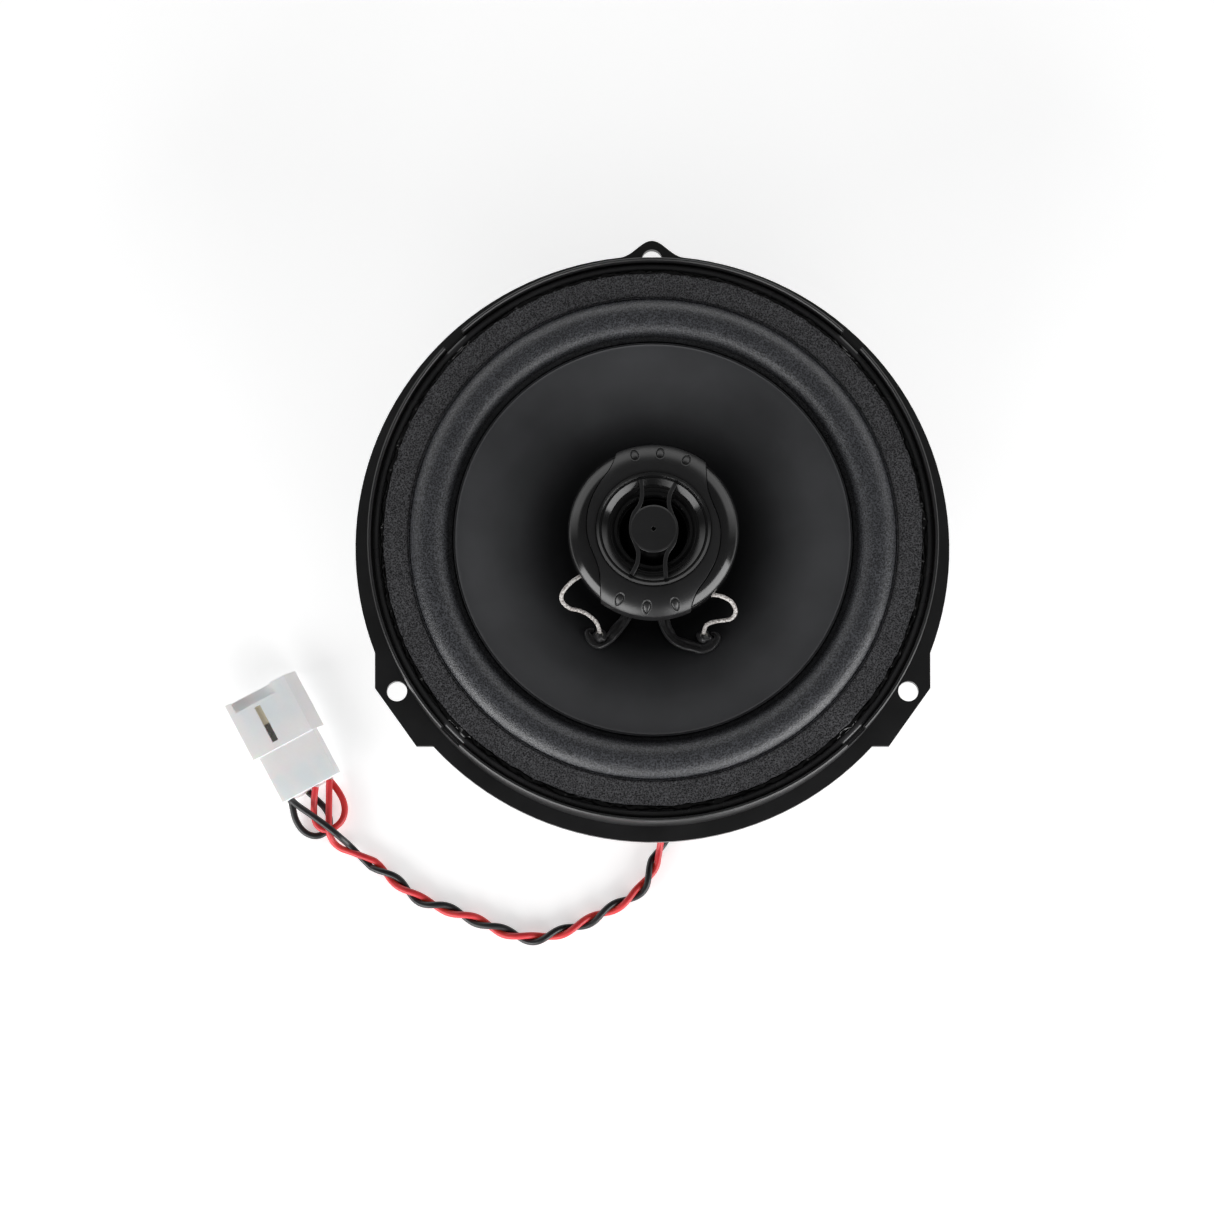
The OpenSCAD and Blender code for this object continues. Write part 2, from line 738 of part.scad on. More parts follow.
red_end_route = [
    [-87.2, -87.6, 3], [-89.8, -86.8, 2.6], [-93, -85.6, 1.8], [-95.2, -83.8, 2.6],
    [-96.4, -81.2, 4.4], [-96.5, -78.4, 5], [-96.5, -75, 5], [-96.5, -70, 5], [-96.5, -65.4, 5]];
black_end_route = [
    [-87.6, -88, 1], [-90, -85.2, 2.6], [-93, -82.6, 5.4], [-96.2, -80, 7], [-99.3, -77.7, 7],
    [-102.4, -75.5, 6.6], [-105.4, -73.4, 6], [-107.7, -71.5, 5.4]];
red_jumper_route = [
    [-96.3, -65.4, 3.2], [-94, -68.4, 3.2], [-92.4, -71.4, 3.1], [-91.9, -74.4, 3], [-92.8, -77.4, 3],
    [-95.2, -79.6, 3], [-98, -80.1, 3], [-100.1, -78.8, 3], [-101, -76.4, 3.1], [-101.1, -73.6, 3.8],
    [-100.9, -70.6, 5.2], [-100.5, -67.5, 5.6]];
black_jumper_route = [
    [-107.9, -71.5, 3.4], [-107.4, -74, 3], [-106.6, -77, 2.4], [-105, -79.7, 1.6],
    [-102.7, -81.4, 1.1], [-100.2, -81.8, 1], [-97.9, -80.8, 1], [-96.6, -78.6, 1],
    [-96.7, -76, 1.1], [-98, -73.5, 1.4], [-100.4, -71, 2.2], [-102.9, -68.8, 3.4]];

module red_lead_start() { color([0.75, 0.15, 0.17]) tube(smooth(red_start_route, 1), wire_d, [1, 0, 0]); }
module black_lead_start() { color([0.08, 0.08, 0.09]) tube(smooth(black_start_route, 1), wire_d, [1, 0, 0]); }
module twisted_pair() { color([0.4, 0.1, 0.12]) tube(smooth(pair_route, 1), pair_d); }
module red_lead_end() { color([0.75, 0.15, 0.17]) tube(smooth(red_end_route, 1), wire_d); }
module black_lead_end() { color([0.08, 0.08, 0.09]) tube(smooth(black_end_route, 1), wire_d); }
module red_jumper() { color([0.75, 0.15, 0.17]) tube(smooth(red_jumper_route, 1), wire_d); }
module black_jumper() { color([0.08, 0.08, 0.09]) tube(smooth(black_jumper_route, 1), wire_d); }

// The plug's own frame: X across its width, Y towards its mating end, origin under its rear face
module in_plug() {
    translate([plug_at[0], plug_at[1], 0]) rotate([0, 0, plug_turn]) children();
}

slot_w = 1.9;
slot_x = -2.7;
slot_l = [17.3, 29.3];
lock_l = 23.3;                         // the lock's rear end
slot_floor_z = plug_h - 2.6;
socket_l = 22;                         // where the four sockets in the mating end begin
socket_z = 3.4;                        // height of their middle

module connector_housing() {
    rear_h = plug_h - 0.4;
    half = plug_front_w / 2;
    bevel = 3.6;
    notch = [-9.3, 3.9];
    color([0.93, 0.94, 0.95])
        in_plug()
            difference() {
                union() {
                    translate([0, plug_rear_l + 0.5, 0])
                        rotate([90, 0, 0])
                            linear_extrude(height = plug_rear_l + 0.5)
                                polygon([
                                    [-plug_w / 2, 0.6], [-plug_w / 2 + 0.6, 0], [plug_w / 2 - 0.6, 0],
                                    [plug_w / 2, 0.6], [plug_w / 2, rear_h - 1.6],
                                    [plug_w / 2 - 1.3, rear_h], [-plug_w / 2 + 0.6, rear_h],
                                    [-plug_w / 2, rear_h - 0.6]]);
                    translate([0, plug_l, 0])
                        rotate([90, 0, 0])
                            linear_extrude(height = plug_l - plug_rear_l)
                                polygon([
                                    [-half, 0.8], [-half + 0.8, 0], [half - 0.8, 0], [half, 0.8],
                                    [half, plug_h - bevel], [half - bevel, plug_h],
                                    [-half + 1, plug_h], [-half, plug_h - 1]]);
                }
                translate([notch[0], plug_l - 3.5, plug_h - 2.4])
                    cube([notch[1] - notch[0], 5, 4]);
                translate([slot_x - slot_w / 2, slot_l[0], slot_floor_z])
                    cube([slot_w, slot_l[1] - slot_l[0], 4]);
                for (i = [0:3])
                    translate([cavity_w[i] - cavity_s / 2, -1, cavity_z[i] - cavity_s / 2])
                        cube([cavity_s, 9, cavity_s]);
                for (w = cavity_w)
                    translate([w - cavity_s / 2, socket_l, socket_z - cavity_s / 2])
                        cube([cavity_s, 20, cavity_s]);
            }
}

module connector_lock() {
    color([0.72, 0.6, 0.42])
        in_plug()
            translate([slot_x - slot_w / 2 + 0.05, lock_l, slot_floor_z])
                cube([slot_w - 0.1, slot_l[1] - lock_l - 0.1, 1.9]);
}

module connector_contacts() {
    color([0.55, 0.55, 0.56])
        in_plug() {
            translate([slot_x - slot_w / 2 + 0.15, slot_l[0] + 0.1, slot_floor_z])
                cube([slot_w - 0.3, lock_l - slot_l[0] - 0.2, 1.2]);
            for (w = cavity_w)
                translate([w, socket_l, socket_z])
                    difference() {
                        translate([-0.9, 0, -0.9]) cube([1.8, 10.5, 1.8]);
                        translate([-0.5, 0.6, -0.5]) cube([1, 12, 1]);
                    }
        }
}

adapter_ring();
sealant_bead();
basket();
basket_rivets();
front_gasket();
surround();
spider();
yoke();
magnet();
top_plate();
tweeter_post();
cone();
coil_former();
coil_winding();
coil_lead_left();
coil_lead_right();
lead_eyelets();
woofer_lead_left();
woofer_lead_right();
tweeter_lead_left();
tweeter_lead_right();
pod_base();
pod_bezel();
face_plate();
waveguide_ring();
tweeter_guard();
tweeter_cup();
tweeter_magnet();
tweeter_pole_plate();
tweeter_dome();
tweeter_coil();
tweeter_suspension();
tweeter_capacitor();
terminal_board();
terminal_rivets();
terminal_tab_positive();
terminal_tab_negative();
push_on_positive();
push_on_negative();
sleeve_positive();
sleeve_negative();
red_lead_start();
black_lead_start();
twisted_pair();
red_lead_end();
black_lead_end();
red_jumper();
black_jumper();
connector_housing();
connector_lock();
connector_contacts();
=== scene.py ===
"""Coaxial car speaker: the looks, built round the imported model."""

import math

import bpy
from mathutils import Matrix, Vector, noise


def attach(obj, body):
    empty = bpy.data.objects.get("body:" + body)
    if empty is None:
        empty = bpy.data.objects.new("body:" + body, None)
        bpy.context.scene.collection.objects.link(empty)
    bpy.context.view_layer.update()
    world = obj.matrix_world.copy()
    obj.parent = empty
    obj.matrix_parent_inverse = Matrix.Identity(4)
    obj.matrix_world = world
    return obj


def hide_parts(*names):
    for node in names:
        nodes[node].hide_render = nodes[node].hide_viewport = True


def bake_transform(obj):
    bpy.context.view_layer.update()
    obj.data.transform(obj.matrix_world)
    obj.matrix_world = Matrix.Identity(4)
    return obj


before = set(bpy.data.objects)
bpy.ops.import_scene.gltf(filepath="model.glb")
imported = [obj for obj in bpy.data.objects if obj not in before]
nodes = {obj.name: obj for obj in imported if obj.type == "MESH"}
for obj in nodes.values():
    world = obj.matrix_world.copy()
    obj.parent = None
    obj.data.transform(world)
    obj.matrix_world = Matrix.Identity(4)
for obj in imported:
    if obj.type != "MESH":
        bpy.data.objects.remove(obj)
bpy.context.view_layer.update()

MM = 0.001
TAU = 2 * math.pi
DETAIL = 1.0


# ------------------------------------------------------------------ sizes, in millimetres

RIM_TOP = 53.6
GASKET_OUT = 77.9
GASKET_TOP = 55.8
CONE_R = 57.8
CONE_NECK_R = 12.8
CONE_NECK_Z = 33.5
CONE_EDGE_Z = 53.5
CONE_T = 0.5
POD_R = 24.5
POD_FACE = 68.3
TINSEL_D = 1.4
WIRE_D = 2.0


# ------------------------------------------------------------------ helpers for meshes

def arc_xy(radius, degrees):
    """A point on a circle about the axis."""
    a = math.radians(degrees)
    return radius * math.cos(a), radius * math.sin(a)


def cone_z(r):
    """Height of the cone's front at radius r."""
    t = min(max((r - CONE_NECK_R) / (CONE_R - CONE_NECK_R), 0.0), 1.0)
    return CONE_NECK_Z + (CONE_EDGE_Z - CONE_NECK_Z) * (1 - (1 - t) ** 1.35) - 0.2


def new_mesh(name, verts_mm, faces, material, smooth_deg):
    """A piece from points in millimetres. Edges sharper than smooth_deg stay sharp."""
    mesh = bpy.data.meshes.new(name)
    mesh.from_pydata([(x * MM, y * MM, z * MM) for x, y, z in verts_mm], [], faces)
    mesh.validate()
    mesh.update()
    for p in mesh.polygons:
        p.use_smooth = True
    mesh.set_sharp_from_angle(angle=math.radians(smooth_deg))
    obj = bpy.data.objects.new(name, mesh)
    bpy.context.scene.collection.objects.link(obj)
    mesh.materials.append(material)
    return obj


def smoothstep(t):
    """0 below 0, 1 above 1, and an S-shaped curve between them."""
    t = min(max(t, 0.0), 1.0)
    return t * t * (3 - 2 * t)


def fillet(outline, steps):
    """Rounds the corners of a closed outline of (a, b, radius) points."""
    n = len(outline)
    out = []
    for i, (a, b, radius) in enumerate(outline):
        here = Vector((a, b))
        before = Vector(outline[i - 1][:2]) - here
        after = Vector(outline[(i + 1) % n][:2]) - here
        if radius <= 0 or before.length < 1e-6 or after.length < 1e-6:
            out.append((a, b))
            continue
        half = before.angle(after) / 2
        if half > math.radians(86):
            out.append((a, b))
            continue
        back = min(radius / math.tan(half), before.length * 0.48, after.length * 0.48)
        p0 = here + before.normalized() * back
        p2 = here + after.normalized() * back
        for k in range(steps + 1):
            t = k / steps
            p = p0.lerp(here, t).lerp(here.lerp(p2, t), t)
            out.append((p.x, p.y))
    return out


def lathe(name, profile, material, segments, move=None, smooth_deg=35):
    """Turns a closed (r, z) outline about the axis. move(x, y, z) may shift each point."""
    segments = int(segments * DETAIL)
    n = len(profile)
    verts = []
    for i in range(segments):
        a = math.radians(360 * i / segments)
        for r, z in profile:
            p = (r * math.cos(a), r * math.sin(a), z)
            verts.append(move(*p) if move else p)
    faces = []
    for i in range(segments):
        j = (i + 1) % segments
        for k in range(n):
            m = (k + 1) % n
            faces.append((i * n + k, j * n + k, j * n + m, i * n + m))
    return new_mesh(name, verts, faces, material, smooth_deg)


def catmull(points, per_span):
    """A smooth line through the points."""
    pts = [Vector(p) for p in points]
    out = []
    n = len(pts)
    for i in range(n - 1):
        p0, p1, p2, p3 = pts[max(i - 1, 0)], pts[i], pts[i + 1], pts[min(i + 2, n - 1)]
        for s in range(per_span):
            t = s / per_span
            out.append(0.5 * (2 * p1 + (p2 - p0) * t + (2 * p0 - 5 * p1 + 4 * p2 - p3) * t * t
                              + (3 * p1 - 3 * p2 + p3 - p0) * t ** 3))
    out.append(pts[-1].copy())
    return out


def resample(points, step):
    """Points a fixed step apart along the line."""
    out = [points[0].copy()]
    left = step
    for a, b in zip(points, points[1:]):
        d = (b - a).length
        at = 0.0
        while d - at >= left:
            at += left
            out.append(a.lerp(b, at / d))
            left = step
        left -= d - at
    if (out[-1] - points[-1]).length > step * 0.4:
        out.append(points[-1].copy())
    else:
        out[-1] = points[-1].copy()
    return out


def line_length(points):
    """Length of the straight runs from point to point."""
    return sum((b - a).length for a, b in zip(points, points[1:]))


def frames(points):
    """A steady pair of side vectors at each point of a line, carried along without twisting."""
    out = []
    side = None
    for i in range(len(points)):
        t = (points[min(i + 1, len(points) - 1)] - points[max(i - 1, 0)]).normalized()
        if side is None:
            side = t.cross(Vector((0, 0, 1)))
            if side.length < 1e-3:
                side = t.cross(Vector((1, 0, 0)))
        side = (side - t * side.dot(t)).normalized()
        out.append((side.copy(), t.cross(side)))
    return out


# ------------------------------------------------------------------ materials

def shader(name, color, roughness, metallic=0.0, **sockets):
    """A new material with its Principled shader's plain values set."""
    mat = bpy.data.materials.new(name)
    mat.use_nodes = True
    bsdf = mat.node_tree.nodes["Principled BSDF"]
    bsdf.inputs["Base Color"].default_value = (*color, 1)
    bsdf.inputs["Roughness"].default_value = roughness
    bsdf.inputs["Metallic"].default_value = metallic
    for key, value in sockets.items():
        bsdf.inputs[key.replace("_", " ")].default_value = value
    return mat, mat.node_tree, bsdf


def noise_node(tree, scale, detail, roughness, coords=None):
    """Noise in object space, or along the given coordinates."""
    tex = tree.nodes.new("ShaderNodeTexNoise")
    tex.inputs["Scale"].default_value = scale
    tex.inputs["Detail"].default_value = detail
    tex.inputs["Roughness"].default_value = roughness
    if coords is None:
        coords = tree.nodes.new("ShaderNodeTexCoord").outputs["Object"]
    tree.links.new(coords, tex.inputs["Vector"])
    return tex


def ramp_node(tree, source, stops):
    """Colours or greys against a 0 to 1 value."""
    ramp = tree.nodes.new("ShaderNodeValToRGB")
    els = ramp.color_ramp.elements
    while len(els) < len(stops):
        els.new(0.5)
    for el, (at, col) in zip(els, stops):
        el.position = at
        el.color = (*col, 1) if isinstance(col, tuple) else (col, col, col, 1)
    tree.links.new(source, ramp.inputs["Fac"])
    return ramp


def add_bump(tree, bsdf, height, distance_mm):
    """A full-strength bump from a height output."""
    bump = tree.nodes.new("ShaderNodeBump")
    bump.inputs["Strength"].default_value = 1
    bump.inputs["Distance"].default_value = distance_mm * MM
    tree.links.new(height, bump.inputs["Height"])
    tree.links.new(bump.outputs["Normal"], bsdf.inputs["Normal"])


def varied(name, dark, light, rough, grain_per_mm, bump_mm, metallic=0.0, patches_per_mm=0.08,
           **sockets):
    """A surface with fine grain in its bump and roughness and slow patches in its colour."""
    mat, tree, bsdf = shader(name, light, rough[0], metallic, **sockets)
    patches = noise_node(tree, patches_per_mm / MM, 3.0, 0.55)
    grain = noise_node(tree, grain_per_mm / MM, 5.0, 0.65)
    mix = tree.nodes.new("ShaderNodeMath")
    mix.operation = "MULTIPLY_ADD"
    tree.links.new(grain.outputs["Fac"], mix.inputs[0])
    mix.inputs[1].default_value = 0.45
    tree.links.new(patches.outputs["Fac"], mix.inputs[2])
    color = ramp_node(tree, mix.outputs[0], [(0.45, dark), (0.95, light)])
    tree.links.new(color.outputs["Color"], bsdf.inputs["Base Color"])
    rough_ramp = ramp_node(tree, patches.outputs["Fac"], [(0.3, rough[0]), (0.7, rough[1])])
    tree.links.new(rough_ramp.outputs["Color"], bsdf.inputs["Roughness"])
    add_bump(tree, bsdf, grain.outputs["Fac"], bump_mm)
    return mat


def gloss_black(name, value, rough, grain_per_mm, bump_mm):
    """Moulded black plastic."""
    light = (value * 1.15, value * 1.15, value * 1.2)
    dark = (value * 0.8, value * 0.8, value * 0.82)
    return varied(name, dark, light, rough, grain_per_mm, bump_mm)


def paint_shade_by_radius(mat, stops):
    """Paints shade into a material: scales its colour and gloss by greys given against the distance from the
    axis, in mm.
    """
    reach = 100  # mm, past the edge of anything that is shaded
    tree = mat.node_tree
    bsdf = tree.nodes["Principled BSDF"]
    flat = tree.nodes.new("ShaderNodeVectorMath")
    flat.operation = "MULTIPLY"
    flat.inputs[1].default_value = (1 / (reach * MM), 1 / (reach * MM), 0)
    tree.links.new(tree.nodes.new("ShaderNodeTexCoord").outputs["Object"], flat.inputs[0])
    length = tree.nodes.new("ShaderNodeVectorMath")
    length.operation = "LENGTH"
    tree.links.new(flat.outputs["Vector"], length.inputs[0])
    greys = ramp_node(tree, length.outputs["Value"], [(r / reach, grey) for r, grey in stops])
    shade = tree.nodes.new("ShaderNodeMix")
    shade.data_type = "RGBA"
    shade.blend_type = "MULTIPLY"
    shade.inputs["Factor"].default_value = 1
    tree.links.new(bsdf.inputs["Base Color"].links[0].from_socket, shade.inputs["A"])
    tree.links.new(greys.outputs["Color"], shade.inputs["B"])
    tree.links.new(shade.outputs["Result"], bsdf.inputs["Base Color"])
    gloss = tree.nodes.new("ShaderNodeMath")
    gloss.operation = "MULTIPLY"
    tree.links.new(greys.outputs["Color"], gloss.inputs[0])
    gloss.inputs[1].default_value = bsdf.inputs["Specular IOR Level"].default_value
    tree.links.new(gloss.outputs[0], bsdf.inputs["Specular IOR Level"])


def foam(name, dark, light, grain_mm, bump_mm, fleck, rough=(0.85, 0.5), **sockets):
    """Grainy foam or rubberised cloth: coarse bump, and pale flecks between dark pores."""
    mat, tree, bsdf = shader(name, light, rough[0], **sockets)
    cells = tree.nodes.new("ShaderNodeTexVoronoi")
    cells.inputs["Scale"].default_value = 1 / (grain_mm * MM)
    coords = tree.nodes.new("ShaderNodeTexCoord").outputs["Object"]
    tree.links.new(coords, cells.inputs["Vector"])
    grain = noise_node(tree, 1.6 / (grain_mm * MM), 4.0, 0.7, coords)
    slow = noise_node(tree, 0.12 / MM, 3.0, 0.5, coords)
    mix = tree.nodes.new("ShaderNodeMath")
    mix.operation = "MULTIPLY_ADD"
    tree.links.new(cells.outputs["Distance"], mix.inputs[0])
    mix.inputs[1].default_value = 0.5
    tree.links.new(grain.outputs["Fac"], mix.inputs[2])
    flecks = tuple(min(c * (1 + fleck * 3), 1) for c in light)
    color = ramp_node(tree, mix.outputs[0], [(0.42, dark), (0.62, light), (0.9, flecks)])
    shade = tree.nodes.new("ShaderNodeMix")
    shade.data_type = "RGBA"
    shade.blend_type = "MULTIPLY"
    shade.inputs["Factor"].default_value = 0.5
    tree.links.new(color.outputs["Color"], shade.inputs["A"])
    tree.links.new(ramp_node(tree, slow.outputs["Fac"], [(0.3, 0.7), (0.7, 1.0)]).outputs["Color"],
                   shade.inputs["B"])
    tree.links.new(shade.outputs["Result"], bsdf.inputs["Base Color"])
    rough_ramp = ramp_node(tree, grain.outputs["Fac"], [(0.35, rough[0]), (0.7, rough[1])])
    tree.links.new(rough_ramp.outputs["Color"], bsdf.inputs["Roughness"])
    add_bump(tree, bsdf, mix.outputs[0], bump_mm)
    return mat


ADAPTER = gloss_black("adapter_plastic", 0.013, (0.28, 0.38), 5.0, 0.006)
BASKET = gloss_black("basket_paint", 0.006, (0.2, 0.3), 4.0, 0.012)
# The rim's paint is the basket's black, made lighter to paint in the rolled edge's sheen.
RIM_PAINT_AND_SHEEN = gloss_black("rim_paint_and_sheen", 0.034, (0.24, 0.32), 4.0, 0.012)
SEALANT = gloss_black("sealant", 0.0025, (0.12, 0.22), 1.5, 0.02)
GASKET = foam("gasket_foam", (0.003, 0.003, 0.0031), (0.017, 0.017, 0.018), 0.5, 0.3, 1.7,
              Specular_IOR_Level=0.1)
SURROUND = foam("surround_rubber", (0.003, 0.0031, 0.0035), (0.012, 0.0124, 0.0137), 0.5, 0.09, 2.0,
                rough=(0.3, 0.24), Specular_IOR_Level=0.55)
# Painted shade: the roll's inner side darkens next to the cone's edge, standing in for the shadow there.
paint_shade_by_radius(SURROUND, [(59.4, 0.15), (61.2, 1.0)])
CONE = varied("cone_plastic", (0.042, 0.0428, 0.046), (0.053, 0.0542, 0.0585), (0.5, 0.56),
              7.0, 0.002)
# Painted shade: the cone's colour and gloss darken towards the pod, standing in for its shadow.
paint_shade_by_radius(CONE, [(25.0, 0.1), (30.0, 0.22), (34.0, 0.42), (39.0, 0.75), (47.0, 1.0)])
POD = gloss_black("pod_plastic", 0.013, (0.3, 0.36), 8.0, 0.002)
WING = gloss_black("pod_wing_plastic", 0.009, (0.12, 0.16), 8.0, 0.0006)
POLISHED = gloss_black("pod_gloss", 0.006, (0.15, 0.19), 8.0, 0.0004)
GLUE = gloss_black("glue", 0.034, (0.3, 0.38), 0.9, 0.02)
FILM = gloss_black("dome_film", 0.003, (0.2, 0.25), 3.0, 0.003)


def metal(name, color, rough):
    """Bare metal, finely scuffed."""
    dark = tuple(c * 0.75 for c in color)
    return varied(name, dark, color, rough, 4.0, 0.004, metallic=1.0)


STEEL = metal("plain_steel", (0.55, 0.55, 0.56), (0.25, 0.4))
DARK_STEEL = metal("dark_steel", (0.11, 0.11, 0.115), (0.3, 0.45))
FERRITE = varied("ferrite", (0.02, 0.02, 0.021), (0.045, 0.045, 0.047), (0.45, 0.6), 3.0, 0.02)
COPPER = metal("copper_wire", (0.6, 0.24, 0.1), (0.25, 0.35))
ALUMINIUM = metal("former_aluminium", (0.7, 0.7, 0.7), (0.25, 0.4))
TINNED = metal("tinned_brass", (0.62, 0.6, 0.54), (0.25, 0.4))
BRASS = metal("brass", (0.7, 0.5, 0.22), (0.25, 0.4))
NICKEL = metal("neodymium", (0.6, 0.6, 0.58), (0.1, 0.2))
BOARD = varied("board", (0.05, 0.02, 0.008), (0.13, 0.055, 0.025), (0.4, 0.55), 2.0, 0.01)
CAPACITOR = varied("capacitor_film", (0.35, 0.08, 0.01), (0.5, 0.14, 0.02), (0.15, 0.25), 2.0, 0.01)
SPIDER = varied("spider_cloth", (0.3, 0.18, 0.05), (0.5, 0.34, 0.13), (0.7, 0.85), 1.2, 0.08)
BRAID = varied("tinsel", (0.08, 0.04, 0.03), (1.0, 0.98, 0.95), (0.5, 0.7), 2.2, 0.04,
               patches_per_mm=1.7)
RED_PVC = varied("red_pvc", (0.5, 0.018, 0.026), (0.66, 0.035, 0.045), (0.35, 0.48), 3.0, 0.008,
                 Subsurface_Weight=0.1)
BLACK_PVC = varied("black_pvc", (0.008, 0.008, 0.009), (0.016, 0.016, 0.017), (0.3, 0.42), 3.0, 0.008)
NYLON = varied("connector_nylon", (0.88, 0.885, 0.89), (0.94, 0.945, 0.95), (0.38, 0.5), 1.5, 0.006,
               Subsurface_Weight=0.15)
LOCK = varied("lock_nylon", (0.62, 0.55, 0.4), (0.74, 0.67, 0.52), (0.4, 0.5), 2.0, 0.006)


# ------------------------------------------------------------------ camera

def add_camera():
    """Nearly straight above, tipped towards the lower side, the driver right of the middle."""
    elevation, distance = math.radians(81.5), 1.146
    right_mm, up_mm = -13.3, -12.1  # what the view's middle is off the axis
    back = Vector((0, -math.cos(elevation), math.sin(elevation)))
    up = Vector((0, math.sin(elevation), math.cos(elevation)))
    middle = Vector((1, 0, 0)) * right_mm * MM + up * up_mm * MM
    cam = bpy.data.cameras.new("camera")
    cam.lens = 112
    cam.sensor_width = 36
    cam.clip_end = 20
    obj = bpy.data.objects.new("camera", cam)
    bpy.context.scene.collection.objects.link(obj)
    obj.location = middle + back * distance
    obj.rotation_euler = (-back).to_track_quat("-Z", "Y").to_euler()
    bpy.context.scene.camera = obj


add_camera()


# ------------------------------------------------------------------ the lead: wires, jumpers

# The routes' points are those of the CAD model, in millimetres
RED_START = [
    (6, -67, 26), (6, -70.5, 26), (5.8, -74, 24.6), (5.2, -76.6, 21), (4.4, -78.2, 16),
    (3.6, -79.6, 11), (3.2, -81.6, 6.8), (2.6, -85, 3.7)]
BLACK_START = [
    (-6, -67, 26), (-6, -70.5, 26), (-5.2, -73.4, 24), (-3, -75, 20), (0.4, -75.8, 15.4),
    (3.4, -76.8, 11), (5, -79, 6.8), (4.9, -82.2, 3.2), (3.2, -85, 1.2)]
PAIR = [
    (1.6, -85.6, 2), (0.9, -89.5, 2), (-0.6, -93.6, 2), (-2.8, -97.4, 2), (-6.2, -100.4, 2),
    (-10.4, -102.8, 2), (-15, -105.2, 2), (-19.6, -107.8, 2), (-24.6, -109.8, 2),
    (-32, -112.2, 2), (-36.5, -112.6, 2), (-41.4, -111.4, 2), (-48.6, -108.7, 2),
    (-56.3, -105.6, 2), (-61.6, -103.6, 2), (-68.2, -101.4, 2), (-72.8, -98.4, 2),
    (-76.6, -95.2, 2), (-80.6, -92.2, 2), (-86.6, -88.2, 2)]
RED_END = [
    (-87.2, -87.6, 3), (-89.8, -86.8, 2.6), (-93, -85.6, 1.8), (-95.2, -83.8, 2.6),
    (-96.4, -81.2, 4.4), (-96.5, -78.4, 5), (-96.5, -75, 5), (-96.5, -70, 5), (-96.5, -65.4, 5)]
BLACK_END = [
    (-87.6, -88, 1), (-90, -85.2, 2.6), (-93, -82.6, 5.4), (-96.2, -80, 7), (-99.3, -77.7, 7),
    (-102.4, -75.5, 6.6), (-105.4, -73.4, 6), (-107.7, -71.5, 5.4)]
RED_JUMPER = [
    (-96.3, -65.4, 3.2), (-94, -68.4, 3.2), (-92.4, -71.4, 3.1), (-91.9, -74.4, 3),
    (-92.8, -77.4, 3), (-95.2, -79.6, 3), (-98, -80.1, 3), (-100.1, -78.8, 3), (-101, -76.4, 3.1),
    (-101.1, -73.6, 3.8), (-100.9, -70.6, 5.2), (-100.5, -67.5, 5.6)]
BLACK_JUMPER = [
    (-107.9, -71.5, 3.4), (-107.4, -74, 3), (-106.6, -77, 2.4), (-105, -79.7, 1.6),
    (-102.7, -81.4, 1.1), (-100.2, -81.8, 1), (-97.9, -80.8, 1), (-96.6, -78.6, 1),
    (-96.7, -76, 1.1), (-98, -73.5, 1.4), (-100.4, -71, 2.2), (-102.9, -68.8, 3.4)]
TWIST_PITCH = 17.8
RED_ON_TOP_AT = 18.0


def twisted(route, phase_turns, margin=2.5, step=1.1):
    """One wire's line along the pair, a wire's radius off its middle."""
    line = resample(catmull(route, 16), step)
    out = []
    s = 0.0
    for i, p in enumerate(line):
        if i:
            s += (p - line[i - 1]).length
        if s < margin or s > line_length(line) - margin:
            continue
        t = (line[min(i + 1, len(line) - 1)] - line[max(i - 1, 0)]).normalized()
        side = Vector((-t.y, t.x, 0)).normalized()
        a = TAU * (0.25 + phase_turns - (s - RED_ON_TOP_AT) / TWIST_PITCH)
        out.append(p + (side * math.cos(a) + Vector((0, 0, 1)) * math.sin(a)) * WIRE_D / 2)
    return out


def wire(name, points_mm, material, slot):
    """A round insulated wire as a curve along the points."""
    curve = bpy.data.curves.new(name, "CURVE")
    curve.dimensions = "3D"
    curve.bevel_depth = WIRE_D / 2 * MM
    curve.bevel_resolution = 6
    curve.use_fill_caps = True
    spline = curve.splines.new("POLY")
    spline.points.add(len(points_mm) - 1)
    for point, p in zip(spline.points, points_mm):
        point.co = (p[0] * MM, p[1] * MM, p[2] * MM, 1)
    spline.use_smooth = True
    obj = bpy.data.objects.new(name, curve)
    bpy.context.scene.collection.objects.link(obj)
    curve.materials.append(material)
    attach(obj, "frame")
    return obj


def lead_line(start, phase, end):
    """The whole wire: terminal, twisted stretch, plug."""
    middle = twisted(PAIR, phase)
    return resample(catmull(start + [tuple(p) for p in middle] + end[1:], 6), 0.7)


def add_lead():
    """The two wires and the two short loops at the plug."""
    lines = {
        "red_wire": (lead_line(RED_START, 0.0, RED_END), RED_PVC, "red_pvc"),
        "black_wire": (lead_line(BLACK_START, 0.5, BLACK_END), BLACK_PVC, "black_pvc"),
        "red_loop": (resample(catmull(RED_JUMPER, 12), 0.6), RED_PVC, "red_pvc"),
        "black_loop": (resample(catmull(BLACK_JUMPER, 12), 0.6), BLACK_PVC, "black_pvc"),
    }
    for name, (line, material, slot) in lines.items():
        wire(name, line, material, slot)
    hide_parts("red_lead_start", "twisted_pair", "red_lead_end")
    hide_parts("black_lead_start", "black_lead_end")
    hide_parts("red_jumper")
    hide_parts("black_jumper")
    for name, (line, _, _) in lines.items():
        line_length(line) * MM


add_lead()


# ------------------------------------------------------------------ placing pieces, hiding CAD nodes, and smooth noise

def settle(obj, body, slot, *replaced):
    """Rides on its body, and hides the CAD nodes it stands for; its slot is not used."""
    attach(obj, body)
    if replaced:
        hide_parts(*replaced)


def bend(obj, replaced):
    """Bakes the piece's placement into its mesh, and hides the CAD node it stands for."""
    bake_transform(obj)
    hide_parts(replaced)


